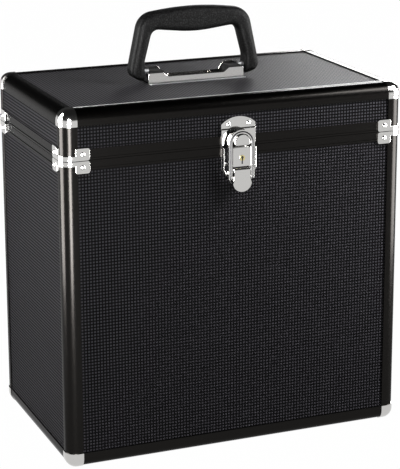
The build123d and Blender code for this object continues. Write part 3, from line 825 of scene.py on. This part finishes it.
@dataclass
class Rivets:
    """Set rivets: low domes with a hollow in the crown."""

    radius: float = 2.5
    head: float = 1.2
    hollow: float = 1.0
    sink: float = 0.5
    # Places on the dome, as shares of its radius and its height.
    dome_shares: tuple[Point, ...] = ((0.72, 0.86), (0.93, 0.5), (1.0, 0.0))
    turns: int = 20
    tray_reach: float = 20.0
    tray_split: float = -20.0
    tray_places: tuple[Point, ...] = ((-14.2, -16.8), (14.2, -16.8), (-10.9, -26.3), (10.9, -26.3))

    def on_tray(self, middle: Vector) -> Vector:
        """The seat on the latch's tray that stands for a seat of the CAD.

        Args:
            middle: The middle of the CAD's seat.

        Returns:
            The middle of the seat on the same side and in the same row, or the CAD's own off the tray.
        """
        if abs(middle.x) > self.tray_reach or middle.y > CASE.front + 1:
            return middle
        split = CASE.seam + self.tray_split
        seats = [Vector((x, middle.y, CASE.seam + height)) for x, height in self.tray_places]
        return next(seat for seat in seats
                    if seat.x * middle.x > 0 and (seat.z > split) == (middle.z > split))

    def dome(self) -> Mesh:
        """One head, standing on z = 0, spun from its half section.

        Returns:
            The head's mesh.
        """
        bm = bmesh.new()
        section = [(self.hollow * 0.35, self.head - self.sink), (self.hollow, self.head),
                   *((self.radius * wide, self.head * high) for wide, high in self.dome_shares)]
        verts = [bm.verts.new((x, 0, z)) for x, z in section]
        edges = [bm.edges.new(pair) for pair in zip(verts, verts[1:])]
        bmesh.ops.spin(bm, geom=verts + edges, cent=(0, 0, 0), axis=(0, 0, 1), angle=2 * math.pi,
                       steps=self.turns, use_merge=True)
        bmesh.ops.remove_doubles(bm, verts=bm.verts, dist=MERGE)
        loose = [edge for edge in bm.edges if edge.is_boundary]
        bmesh.ops.holes_fill(bm, edges=loose, sides=0)
        return bm

    def places(self, node: str) -> list[tuple[Vector, Vector]]:
        """Reads where a node's heads stand, and which way they point.

        Args:
            node: The CAD node that holds the heads.

        Returns:
            The middle of each head's seat, and its direction.
        """
        bm = bmesh.new()
        bm.from_mesh(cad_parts[node].data)
        bmesh.ops.scale(bm, vec=(1 / MM, 1 / MM, 1 / MM), verts=bm.verts)
        bmesh.ops.remove_doubles(bm, verts=bm.verts, dist=MERGE)
        found = []
        left = set(bm.verts)
        while left:
            island = [left.pop()]
            for vert in island:
                for edge in vert.link_edges:
                    other = edge.other_vert(vert)
                    if other in left:
                        left.remove(other)
                        island.append(other)
            found.append(self.seat([vert.co.copy() for vert in island]))
        bm.free()
        return sorted(found, key=lambda item: tuple(round(c, 2) for c in item[0]))

    def seat(self, points: list[Vector]) -> tuple[Vector, Vector]:
        """Reads one head.

        Args:
            points: The head's corners.

        Returns:
            The middle of its seat, and its thin axis, pointing away from the case.
        """
        low = Vector([min(point[i] for point in points) for i in range(3)])
        high = Vector([max(point[i] for point in points) for i in range(3)])
        axis = min(range(3), key=lambda i: high[i] - low[i])
        middle = (low + high) / 2
        centre = (0, CASE.middle_y, CASE.seam)
        sign = 1 if middle[axis] > centre[axis] else -1
        direction = Vector((0, 0, 0))
        direction[axis] = sign
        middle[axis] = low[axis] if sign > 0 else high[axis]
        return middle, direction

    def build(self, finishes: Finishes) -> None:
        """Sets every head of both halves.

        Args:
            finishes: The case's materials.
        """
        for body in (Body.BASE, Body.LID):
            node = f"{body.value}_rivets"
            heads = []
            for middle, direction in self.places(node):
                if body is Body.BASE:
                    middle = self.on_tray(middle)
                turn = direction.to_track_quat("Z", "Y").to_matrix().to_4x4()
                heads.append(move(self.dome(), Matrix.Translation(middle) @ turn))
            finish_piece(f"{node}_domed", join(heads), finishes.chrome, body, [node])


@dataclass
class SeamBrackets:
    """Plates at the seam with rounded corners, joined round each post by a strap."""

    start: float = 13.2
    far: float = 28.0
    height: float = 12.5
    strap: float = 5.0
    core: float = 11.0
    sheet: float = 1.2
    corner: float = 2.2
    slack: float = 0.05
    rim: float = 0.3
    steps: int = 10

    def band(self) -> Mesh:
        """One bracket with its corner at the origin, its seam edge on z = 0.

        Returns:
            The bracket's mesh.
        """
        far, start = self.far, self.start
        bm = bmesh.new()
        verts = [bm.verts.new(point) for point in ((0, far, 0), (0, 0, 0), (far, 0, 0))]
        edges = [bm.edges.new(pair) for pair in zip(verts, verts[1:])]
        made = bmesh.ops.extrude_edge_only(bm, edges=edges)["geom"]
        raised = [item for item in made if isinstance(item, bmesh.types.BMVert)]
        bmesh.ops.translate(bm, verts=raised, vec=(0, 0, self.height))
        upright = [edge for edge in bm.edges if all(vert.co.xy.length < TOUCH for vert in edge.verts)]
        round_edges(bm, upright, self.core - 0.01, self.steps, clamp=False)
        for axis, place in ((2, self.strap), (0, start), (1, start)):
            across = [float(i == axis) for i in range(3)]
            bmesh.ops.bisect_plane(bm, geom=bm.verts[:] + bm.edges[:] + bm.faces[:],
                                   plane_co=[place * i for i in across], plane_no=across)
        waste = []
        for face in bm.faces:
            centre = face.calc_center_median()
            if centre.z > self.strap and max(centre.x, centre.y) < start:
                waste.append(face)
        bmesh.ops.delete(bm, geom=waste, context="FACES")
        self.round_corners(bm)
        face_out(bm, (20, 20, 6))
        bmesh.ops.solidify(bm, geom=bm.faces[:], thickness=-self.sheet)
        soften_sharp(bm, self.rim)
        return bm

    def round_corners(self, bm: Mesh) -> None:
        """Rounds the corners of both plates, apart from those next to the strap.

        Args:
            bm: The bracket, still a sheet.
        """
        corners = []
        for vert in bm.verts:
            reach = max(vert.co.xy)
            at_seam, at_edge = vert.co.z < MERGE, abs(vert.co.z - self.height) < MERGE
            if abs(reach - self.far) < MERGE and (at_seam or at_edge):
                corners.append(vert)
            elif at_edge and abs(reach - self.start) < self.slack:
                corners.append(vert)
        bmesh.ops.bevel(bm, geom=corners, offset=self.corner, affect="VERTICES", segments=4, profile=0.5,
                        material=-1)

    def build(self, finishes: Finishes) -> None:
        """Wraps the four corners of both halves.

        Args:
            finishes: The case's materials.
        """
        for body, level, up in ((Body.BASE, CASE.base_top, -1), (Body.LID, CASE.lid_bottom, 1)):
            node = f"{body.value}_seam_brackets"
            finish_piece(f"{node}_pressed", at_corners(self.band, level, up), finishes.chrome, body,
                         [node])


# ---- latch
@dataclass
class Latch:
    """Draw latch: strike plate, bail, tray, lock box with its plug, and the finger lever."""

    plate_half: float = 18.6
    sheet: float = 1.5
    strike_low: float = 2.0
    shoulder: float = 23.4
    crest: float = 30.7
    fold: float = 18.9
    plate_corner: float = 1.6
    plate_soft: float = 0.35
    fold_run: float = 1.4
    step_in: float = 0.9
    boss_half: float = 7.7
    boss_low: float = 2.8
    boss_top: float = 14.2
    boss_out: float = 12.0
    boss_corner: float = 0.8
    boss_soft: float = 0.9
    bail_inner: float = 10.3
    bail_strip: float = 3.7
    bail_top: float = 14.6
    bail_out: Point = (6.9, 9.5)
    bail_groove: Point = (1.4, 1.8)
    bail_corners: Point = (0.9, 0.6)
    bail_steps: int = 24
    bead_soft: float = 0.28
    foot: Point = (1.2, 4.4)
    foot_soft: float = 0.3
    foot_steps: int = 16
    pivot: Point = (-30.3, 8.2)
    tray_top: float = -0.8
    tray_shoulder: float = -22.5
    tray_tip: Point = (10.0, -37.0)
    tray_corners: Point = (1.2, 3.0)
    tray_rim: float = 1.2
    tray_out: float = 5.0
    rim_corners: tuple[float, float, float] = (2.5, 0.4, 2.0)
    rim_soft: float = 0.35
    tray_lean: float = 0.7
    eye: Point = (-9.6, 1.35)
    eye_arc: Point = (-55, 235)
    eye_steps: int = 14
    slot: Point = (1.3, -16.2)
    slot_share: float = 0.93
    mark_proud: float = 0.06
    mark_sunk: Point = (1.0, 0.8)
    ear: tuple[RoundPoint, ...] = ((-26.0, 1.2, 0.4), (-19.6, 1.2, 0.4), (-19.6, 9.4, 2.4), (-26.0, 9.4, 2.4))
    # Rounding of the housing and of the lever, and the least turn of an edge that is rounded.
    housing_soft: Point = (0.8, 50.0)
    lever_soft: Point = (0.55, 40.0)
    ear_x: float = 9.5
    ear_sheet: float = 0.9

    def strike(self) -> Mesh:
        """The arched plate on the lid, folded back on to the panel, with the boss for the bail.

        Returns:
            The plate and its boss, on the case's front.
        """
        rise = self.crest - self.shoulder
        radius = (self.plate_half ** 2 + rise ** 2) / (2 * rise)
        spread = math.degrees(math.asin(self.plate_half / radius))
        crown = arc((0, self.crest - radius), radius, 90 - spread, 90 + spread, ARC_STEPS)
        low, corner = self.strike_low, self.plate_corner
        outline = [(-self.plate_half, low, corner), (self.plate_half, low, corner), *crown]
        plate = prism(outline, 0.0, self.sheet, soft=self.plate_soft)
        fold_low = self.fold - self.fold_run
        for height in (fold_low, self.fold):
            bmesh.ops.bisect_plane(plate, geom=plate.verts[:] + plate.edges[:] + plate.faces[:],
                                   plane_co=(0, height, 0), plane_no=(0, 1, 0))
        for vert in plate.verts:
            share = min(max((vert.co.y - fold_low) / self.fold_run, 0.0), 1.0)
            vert.co.z -= share * self.step_in
        middle = self.boss_top - self.boss_half
        dome = arc((0, middle), self.boss_half, 0, 180, ARC_STEPS)
        outline = [(-self.boss_half, self.boss_low, self.boss_corner),
                   (self.boss_half, self.boss_low, self.boss_corner), *dome]
        boss = prism(outline, self.sheet - 2 * OVERLAP, self.boss_out, soft=self.boss_soft)
        return on_front(join([plate, boss]))

    def bail_outline(self, inner: float, width: float, low: float) -> list[RoundPoint]:
        """An arch on two straight legs, about the bail's own middle line.

        Args:
            inner: Half of its opening.
            width: Width of the strip.
            low: Height of its ends.

        Returns:
            The outline's corners, anticlockwise.
        """
        centre = self.bail_top - self.bail_inner
        outside = arc((0, centre), inner + width, 0, 180, self.bail_steps)
        inside = arc((0, centre), inner, 180, 0, self.bail_steps)
        outer, nook = self.bail_corners
        return [(inner + width, low, outer), *outside, (-inner - width, low, outer),
                (-inner, low, nook), *inside, (inner, low, nook)]

    def bail(self) -> Mesh:
        """The arched strip with a bead along each edge, and its two turned-in feet.

        Returns:
            The bail's mesh, on the case's front.
        """
        height, out = self.pivot
        width, _ = self.bail_groove
        back, front = self.bail_out
        bead = (self.bail_strip - width) / 2
        pieces = []
        for inner in (self.bail_inner, self.bail_inner + bead + width):
            pieces.append(prism(self.bail_outline(inner, bead, height - 2.0), back, front,
                                soft=self.bead_soft))
        radius, length = self.foot
        for side in (-1, 1):
            foot = bmesh.new()
            bmesh.ops.create_cone(foot, cap_ends=True, segments=self.foot_steps, radius1=radius, radius2=radius,
                                  depth=length)
            middle = Matrix.Translation((side * (self.bail_inner + 1 - length / 2), height, out))
            move(foot, middle @ Matrix.Rotation(math.pi / 2, 4, "Y"))
            soften_sharp(foot, self.foot_soft)
            pieces.append(foot)
        return on_front(join(pieces))

    def bail_floor(self) -> Mesh:
        """The floor of the bail's groove, between its two beads, painted dark: painted shade.

        Returns:
            The floor's mesh, on the case's front.
        """
        low = self.pivot[0] - 1.7
        width, depth = self.bail_groove
        inner = self.bail_inner + (self.bail_strip - width) / 2 - 0.2
        back, front = self.bail_out
        return on_front(prism(self.bail_outline(inner, width + 0.4, low), back + 0.1, front - depth))

    def keyhole(self) -> Mesh:
        """The keyhole in the plug's face, a round eye over the start of its slot, as a dark inlay: painted
        shade for its hollow.

        Returns:
            The inlay, on the case's front.
        """
        low, high = corners_mm("lock_plug")
        centre, reach = (low.z + high.z) / 2 - CASE.seam, (high.z - low.z) / 2
        half, bottom = self.slot[0] / 2, centre - reach * self.slot_share
        eye = arc((0.0, self.eye[0]), self.eye[1], *self.eye_arc, self.eye_steps)
        return self.mark([*eye, (-half, bottom, 0), (half, bottom, 0)], CASE.front - low.y, self.mark_sunk[0])

    def keyway(self) -> Mesh:
        """The rest of the slot, below the plug, in the housing's face, as a dark inlay: painted shade for its
        hollow.

        Returns:
            The inlay, on the case's front.
        """
        low, _ = corners_mm("latch_lock_box")
        plug_low, _ = corners_mm("lock_plug")
        half, bottom, top = self.slot[0] / 2, self.slot[1], plug_low.z - CASE.seam - 0.1
        outline = [(-half, bottom, 0.3), (half, bottom, 0.3), (half, top, 0), (-half, top, 0)]
        return self.mark(outline, CASE.front - low.y, self.mark_sunk[1])

    def mark(self, outline: Sequence[RoundPoint], out: float, sunk: float) -> Mesh:
        """A dark inlay in a face, a hair proud of it so that it shows: painted shade that stands for a dark
        hollow.

        Args:
            outline: The inlay's corners.
            out: How far the face stands out from the case.
            sunk: Depth of the inlay.

        Returns:
            The inlay, on the case's front.
        """
        return on_front(prism(outline, out - sunk, out + self.mark_proud))

    def tray_outline(self, inset: float) -> list[RoundPoint]:
        """The tray's straight sides and taper, drawn in by a distance.

        Args:
            inset: The distance.

        Returns:
            The outline's corners, anticlockwise.
        """
        half, shoulder = self.plate_half - inset, self.tray_shoulder
        tip, low = self.tray_tip[0] - inset, self.tray_tip[1]
        end, bend = self.tray_corners
        return [(-tip, low, end), (tip, low, end), (half, shoulder, bend),
                (half, self.tray_top, self.plate_corner), (-half, self.tray_top, self.plate_corner),
                (-half, shoulder, bend)]

    def tray(self) -> Mesh:
        """The base plate, with a rim that leans in along its sides and its taper, and the pin's ears.

        Returns:
            The tray's mesh, on the case's front.
        """
        pieces = [prism(self.tray_outline(0.0), 0.0, self.sheet - 0.1, soft=0.3)]
        for side in (-1, 1):
            half, shoulder = self.plate_half, self.tray_shoulder
            tip, low = self.tray_tip
            inner = half - self.tray_rim
            outer_bend, end, inner_bend = self.rim_corners
            path = [(tip - self.tray_rim, low, 0), (tip + 0.3, low, 0), (half, shoulder, outer_bend),
                    (half, self.tray_top, end), (inner, self.tray_top, end), (inner, shoulder, inner_bend)]
            rim = prism([(side * x, y, r) for x, y, r in (path if side > 0 else path[::-1])], self.sheet - 0.2,
                        self.tray_out)
            for vert in rim.verts:
                if vert.co.z > self.sheet:
                    vert.co.x -= side * self.tray_lean
            soften_sharp(rim, self.rim_soft)
            pieces.append(rim)
        return on_front(join([*pieces, self.ears()]))

    def tray_floor(self) -> Mesh:
        """The floor between the tray's rims, painted dark: painted shade where little light falls."""
        return on_front(prism(self.tray_outline(self.tray_rim), 0.3, self.sheet))

    def ears(self) -> Mesh:
        """Two small tongues that hold the lever's pin.

        Returns:
            Both tongues, as drawn, with their height along Y.
        """
        ears = []
        for side in (-1, 1):
            middle = side * self.ear_x
            ear = prism(self.ear, middle - self.ear_sheet / 2, middle + self.ear_sheet / 2)
            ears.append(move(ear, axes((0, 1, 0), (0, 0, 1), (1, 0, 0))))
        return join(ears)

    def softened(self, node: str, soft: float, sharp_deg: float, faces: Sequence[tuple[int, bool]],
                 least: int) -> Mesh:
        """A copy of a CAD node, with its outer edges rounded.

        Args:
            node: The CAD node's name.
            soft: The rounding.
            sharp_deg: Edges that turn more than this are rounded.
            faces: Outer faces of its box, as (axis, whether it is the high one).
            least: On how many of them a rounded edge lies.

        Returns:
            The copy.
        """
        ends = corners_mm(node)

        def outer(edge: Edge) -> bool:
            """Says whether an edge lies on enough of the faces."""
            middle = (edge.verts[0].co + edge.verts[1].co) / 2
            return sum(abs(middle[axis] - ends[high][axis]) < ON_FACE for axis, high in faces) >= least

        bm = copy_of(node)
        soften_sharp(bm, soft, sharp_deg, 3, outer)
        return bm

    def lock_box(self) -> Mesh:
        """The lock's housing, with its outer edges rounded, apart from those on the case."""
        faces = ((0, False), (0, True), (1, False), (2, False), (2, True))
        return self.softened("latch_lock_box", *self.housing_soft, faces, 2)

    def lever(self) -> Mesh:
        """The finger lever, with its face's edges rounded."""
        return self.softened("latch_lever", *self.lever_soft, ((1, False),), 1)

    def build(self, finishes: Finishes) -> None:
        """Replaces the strike plate, bail, tray, housing and lever, and dresses the rest.

        Args:
            finishes: The case's materials.
        """
        made = (("latch_strike_pressed", self.strike, Body.LID, "latch_strike_plate"),
                ("latch_bail_formed", self.bail, Body.BAIL, "latch_bail"),
                ("latch_tray_pressed", self.tray, Body.BASE, "latch_base_plate"),
                ("latch_lock_housing", self.lock_box, Body.BASE, "latch_lock_box"),
                ("latch_lever_formed", self.lever, Body.LEVER, "latch_lever"))
        for name, shape, body, node in made:
            finish_piece(name, shape(), finishes.chrome, body, [node], smooth_deg=25.0)
        # The tray's dark floor is painted shade.
        finish_piece("latch_tray_floor", self.tray_floor(), finishes.shade, Body.BASE)
        # The keyhole and keyway are dark inlays: painted shade for their hollows.
        finish_piece("lock_plug_keyhole", self.keyhole(), finishes.rubber, Body.PLUG)
        finish_piece("lock_housing_keyway", self.keyway(), finishes.rubber, Body.BASE)
        # The groove's dark floor is painted shade.
        finish_piece("latch_bail_groove", self.bail_floor(), finishes.shade, Body.BAIL)
        for node, material in (("latch_lever_pin", finishes.steel), ("lock_bolt", finishes.steel),
                               ("lock_plug", finishes.brass)):
            dress(node, material)


# ---- handle
@dataclass
class Handle:
    """The moulded grip, and the chromed channel that it swings on."""

    middle_x: float = -4.0
    voxel: float = 1.0
    smoothing: int = 9
    channel_half: float = 53.5
    channel_depth: float = 20.0
    channel_floor: float = 371.8
    flange: Point = (6.0, 1.1)
    block: Triple = (35.5, 50.6, 12.6)
    wall: float = 1.5
    cheek: float = 3.0
    bend: float = 0.7
    ramps: Point = (31.0, 37.0)
    end_heights: Point = (10.8, 15.2)
    low_height: float = 6.4
    lean: float = 0.12

    def grip(self) -> Mesh:
        """The grip, its corners melted together as a moulding's are.

        Returns:
            The grip's mesh.
        """
        holder = mesh_of("holder", copy_of("handle_grip"))
        model = add_object("holder", holder)
        remesh = model.modifiers.new("even", "REMESH")
        remesh.mode = "VOXEL"
        remesh.voxel_size = self.voxel
        whole = model.evaluated_get(bpy.context.evaluated_depsgraph_get())
        smooth = bmesh.new()
        smooth.from_mesh(whole.to_mesh())
        whole.to_mesh_clear()
        bpy.data.objects.remove(model)
        bpy.data.meshes.remove(holder)
        for _ in range(self.smoothing):
            bmesh.ops.smooth_vert(smooth, verts=smooth.verts, factor=0.5, use_axis_x=True, use_axis_y=True,
                                  use_axis_z=True)
        return smooth

    def slab(self, edges: tuple[float, float, float, float], low: float, high: float, soft: float = 0.3,
             corner: float = 0.8) -> Mesh:
        """A flat piece over the channel's floor.

        Args:
            edges: Its left, near, right and far edges, about the channel's middle.
            low: Height of its lower face above the floor.
            high: Height of its upper face.
            soft: Rounding of its upper rim.
            corner: Rounding of its corners.

        Returns:
            The piece's mesh.
        """
        left, near, right, far = edges
        bm = prism([(left, near, corner), (right, near, corner), (right, far, corner), (left, far, corner)],
                   self.channel_floor + low, self.channel_floor + high, soft=soft)
        bmesh.ops.translate(bm, verts=bm.verts, vec=(self.middle_x, CASE.middle_y, 0))
        return bm

    def draw_in(self, bm: Mesh) -> None:
        """Narrows a piece upwards, so that it follows the leaning walls.

        Args:
            bm: The piece to change.
        """
        for vert in bm.verts:
            rise = vert.co.z - self.channel_floor
            across = vert.co.y - CASE.middle_y
            vert.co.y -= math.copysign(min(self.lean * rise, abs(across)), across)

    def wall_sheet(self, inner_y: float) -> Mesh:
        """One side wall, high at its ends and low under the fingers.

        Args:
            inner_y: Its back face, about the channel's middle. Only the far wall's is above zero.

        Returns:
            The wall's mesh.
        """
        half = self.channel_half
        low, high = self.ramps
        top = self.end_heights[1 if inner_y > 0 else 0]
        outline = [(-half, 0, 0), (half, 0, 0), (half, top, 1.2), (high, top, 2.2),
                   (low, self.low_height, 2.5), (-low, self.low_height, 2.5), (-high, top, 2.2),
                   (-half, top, 1.2)]
        bm = prism(outline, 0.0, self.wall, soft=0.3, both_rims=True)
        inwards = 1.0 if inner_y > 0 else -1.0
        for vert in bm.verts:
            vert.co.z += inwards * self.lean * vert.co.y
        place = Matrix.Translation((self.middle_x, CASE.middle_y + inner_y, self.channel_floor))
        return move(bm, place @ Matrix.Rotation(math.pi / 2, 4, "X"))

    def flanges(self) -> Mesh:
        """The two flanges along the foot of the walls, in steel darker than the chrome: painted shade on their
        tops.

        Returns:
            Both flanges in one mesh.
        """
        half, deep = self.channel_half, self.channel_depth / 2
        width, sheet = self.flange
        pieces = []
        for side in (-1, 1):
            near, far = sorted((side * (deep + self.bend), side * (deep + width)))
            pieces.append(self.slab((-half, near, half, far), 0.0, sheet))
        return join(pieces)

    def channel(self) -> Mesh:
        """The pressed channel: two walls, a floor and two ends.

        Returns:
            The channel's mesh.
        """
        half, deep, wall = self.channel_half, self.channel_depth / 2, self.wall
        width = self.flange[0]
        pieces = [self.wall_sheet(-deep + wall), self.wall_sheet(deep),
                  self.slab((-half + OVERLAP, -deep + wall - OVERLAP, half - OVERLAP, deep - wall + OVERLAP),
                            0.0, wall)]
        for side in (-1, 1):
            near, far = sorted((side * (deep - 0.2), side * (deep + width - 0.5)))
            pieces.append(self.slab((-half + 0.5, near, half - 0.5, far), 0.0, 0.5, soft=0.0))
            left, right = sorted((side * (half - self.cheek), side * (half - OVERLAP)))
            end = self.slab((left, -deep + wall - OVERLAP, right, deep - wall + OVERLAP), 0.0,
                            self.end_heights[0] - 0.5)
            self.draw_in(end)
            pieces.append(end)
        return join(pieces)

    def blocks(self) -> Mesh:
        """The dark blocks that fill the channel's two high ends: painted shade.

        Returns:
            Both blocks in one mesh.
        """
        near, far, height = self.block
        half = self.channel_depth / 2 - self.wall + 0.05
        blocks = []
        for side in (-1, 1):
            left, right = sorted((side * near, side * far))
            block = self.slab((left, -half, right, half), 1.2, height, soft=0.6, corner=0.0)
            self.draw_in(block)
            blocks.append(block)
        return join(blocks)

    def build(self, finishes: Finishes) -> None:
        """Replaces the grip and the channel, and dresses the pins.

        Args:
            finishes: The case's materials.
        """
        finish_piece("handle_grip_moulded", self.grip(), finishes.grip, Body.GRIP, ["handle_grip"],
                     smooth_deg=60.0)
        finish_piece("handle_channel_pressed", self.channel(), finishes.chrome, Body.LID,
                     ["handle_channel"])
        # The flanges' darker steel is painted shade.
        finish_piece("handle_channel_flanges", self.flanges(), finishes.steel, Body.LID)
        # The dark end blocks are painted shade.
        finish_piece("handle_channel_shade_blocks", self.blocks(), finishes.rubber, Body.LID)
        dress("handle_pins", finishes.steel)


# ---- the rest
@dataclass
class HiddenSide:
    """Hinges, feet and lining, kept from the CAD."""

    def build(self, finishes: Finishes) -> None:
        """Dresses each kept node.

        Args:
            finishes: The case's materials.
        """
        for node, material in (("base_hinge_leaves", finishes.chrome), ("lid_hinge_leaves", finishes.chrome),
                               ("hinge_pins", finishes.steel), ("foot_screws", finishes.steel),
                               ("base_lining", finishes.felt), ("lid_lining", finishes.felt),
                               ("rubber_feet", finishes.rubber)):
            dress(node, material)


# ---- studio
@dataclass
class Studio:
    """Pale floor, soft lamps and the camera."""

    camera_mm: Triple = (-703.1, -1734.7, 744.8)
    yaw_deg: float = -22.13
    pitch_deg: float = 14.41
    lens_mm: float = 139.4
    roll_deg: float = -0.168
    shift: float = -0.12
    sensor_mm: float = 36.0
    clip_m: float = 50.0
    target_m: Triple = (0, 0, 0.2)
    floor_m: float = 30.0
    floor_roughness: float = 0.9
    ambient: float = 0.09
    floor_colour: str = "383838"
    floor_white: float = 0.995
    # What a mirror sees, by height of its ray: pale near the floor and dark overhead.
    mirror_bands: tuple[Point, ...] = ((0.0, 0.9), (0.05, 0.7), (0.14, 0.05), (0.9, 0.02))
    # Name, place in metres, width and height, watts, and whether it shows in mirrors alone.
    lamps: tuple[tuple[str, Triple, Point, float, bool], ...] = (
        ("strip_left_back", (-0.66, 0.10, 0.28), (0.42, 0.5), 25.0, True),
        ("strip_left_front", (-0.30, -0.60, 0.28), (0.22, 0.5), 23.0, True),
        ("strip_right", (0.72, -0.34, 0.26), (0.5, 0.5), 22.0, True),
        ("back_right", (1.25, 1.45, 0.8), (0.9, 0.5), 14.0, False),
        ("side", (-0.75, 0.20, 0.80), (0.4, 0.4), 8.0, False),
        ("front", (0.6, -0.42, 0.75), (0.4, 0.4), 12.0, False))

    def rays(self, tree: bpy.types.NodeTree, kinds: Sequence[str]) -> Socket:
        """Tells rays of some kinds from the rest.

        Args:
            tree: The node tree.
            kinds: The kinds of ray, as Light Path names them.

        Returns:
            A socket that gives 1 for a ray of one of the kinds, and 0 for another.
        """
        path = add_node(tree, "ShaderNodeLightPath")
        seen = path.outputs[f"Is {kinds[0]} Ray"]
        for kind in kinds[1:]:
            seen = add_node(tree, "ShaderNodeMath", {"operation": "MAXIMUM"},
                            {0: seen, 1: path.outputs[f"Is {kind} Ray"]}).outputs[0]
        return seen

    def floor(self) -> None:
        """A large pale floor that shows white, and keeps the case's shadow."""
        bm = bmesh.new()
        bmesh.ops.create_grid(bm, x_segments=1, y_segments=1, size=self.floor_m / 2)
        mesh = mesh_of("floor", bm)
        material, tree, shader = start_material("pale_floor")
        set_inputs(tree, shader, {"Base Color": linear(self.floor_colour), "Roughness": self.floor_roughness})
        glow = add_node(tree, "ShaderNodeEmission", inputs={"Color": WHITE, "Strength": 1.0})
        share = add_node(tree, "ShaderNodeMath", {"operation": "MULTIPLY"},
                         {0: self.rays(tree, ("Camera", "Transmission", "Glossy")), 1: self.floor_white})
        blend = add_node(tree, "ShaderNodeMixShader",
                         inputs={0: share.outputs[0], 1: shader.outputs[0], 2: glow.outputs[0]})
        tree.links.new(blend.outputs[0], tree.nodes["Material Output"].inputs["Surface"])
        mesh.materials.append(material)
        add_object("floor", mesh)

    def world(self) -> None:
        """White where it is seen, pale near the floor and dark overhead where it is mirrored, and gentler where
        it lights.
        """
        world = bpy.data.worlds.new("studio")
        bpy.context.scene.world = world
        world.use_nodes = True
        tree = world.node_tree
        aim = add_node(tree, "ShaderNodeTexCoord")
        height = add_node(tree, "ShaderNodeSeparateXYZ", inputs={0: aim.outputs["Generated"]})
        bands = add_node(tree, "ShaderNodeValToRGB", inputs={0: height.outputs[2]})
        ramp = bands.color_ramp
        for place, level in self.mirror_bands:
            stop = ramp.elements.new(place)
            stop.color = (level, level, level, 1.0)
        ramp.elements.remove(ramp.elements[0])
        ramp.elements.remove(ramp.elements[-1])
        lit = add_node(tree, "ShaderNodeMix", {"data_type": "RGBA"},
                       {0: self.rays(tree, ("Glossy",)), 6: (self.ambient,) * 3 + (1.0,), 7: bands.outputs[0]})
        colour = add_node(tree, "ShaderNodeMix", {"data_type": "RGBA"},
                          {0: self.rays(tree, ("Camera", "Transmission")), 6: lit.outputs[2], 7: WHITE})
        tree.links.new(colour.outputs[2], tree.nodes["Background"].inputs["Color"])

    def lamp(self, name: str, place: Triple, size: Point, watts: float, mirrored_only: bool) -> None:
        """A soft lamp aimed at the case.

        Args:
            name: The lamp's name.
            place: Where it stands, in metres.
            size: Its width and height in metres.
            watts: Its power.
            mirrored_only: Whether it shows in bright surfaces alone, as a card does.
        """
        data = bpy.data.lights.new(name, "AREA")
        data.shape = "RECTANGLE"
        data.size, data.size_y = size
        data.energy = watts
        lamp = add_object(name, data)
        lamp.location = place
        aim = Vector(self.target_m) - Vector(place)
        lamp.rotation_euler = aim.to_track_quat("-Z", "Y").to_euler()
        lamp.visible_camera = False
        lamp.visible_diffuse = not mirrored_only

    def camera(self) -> None:
        """The camera, at the view that shows front, left side and top."""
        data = bpy.data.cameras.new("view")
        data.lens = self.lens_mm
        data.sensor_width = self.sensor_mm
        data.shift_y = self.shift
        data.clip_end = self.clip_m
        camera = add_object("view", data)
        camera.location = Vector(self.camera_mm) * MM
        aim = Matrix.Identity(4)
        for angle, axis in ((self.yaw_deg, "Z"), (90 - self.pitch_deg, "X"), (self.roll_deg, "Z")):
            aim = aim @ Matrix.Rotation(math.radians(angle), 4, axis)
        camera.rotation_euler = aim.to_euler()
        bpy.context.scene.camera = camera

    def build(self) -> None:
        """Sets the whole studio."""
        self.floor()
        self.world()
        for lamp in self.lamps:
            self.lamp(*lamp)
        self.camera()
        bpy.context.scene.view_settings.view_transform = "Standard"


def main() -> None:
    """Builds the studio, then the case from its boards outwards."""
    Studio().build()
    finishes = Finishes()
    for group in (Panels(), Edging(), BallCorners(), SeamBrackets(), Rivets(), Latch(), Handle(), HiddenSide()):
        group.build(finishes)


if __name__ == "__main__":
    main()
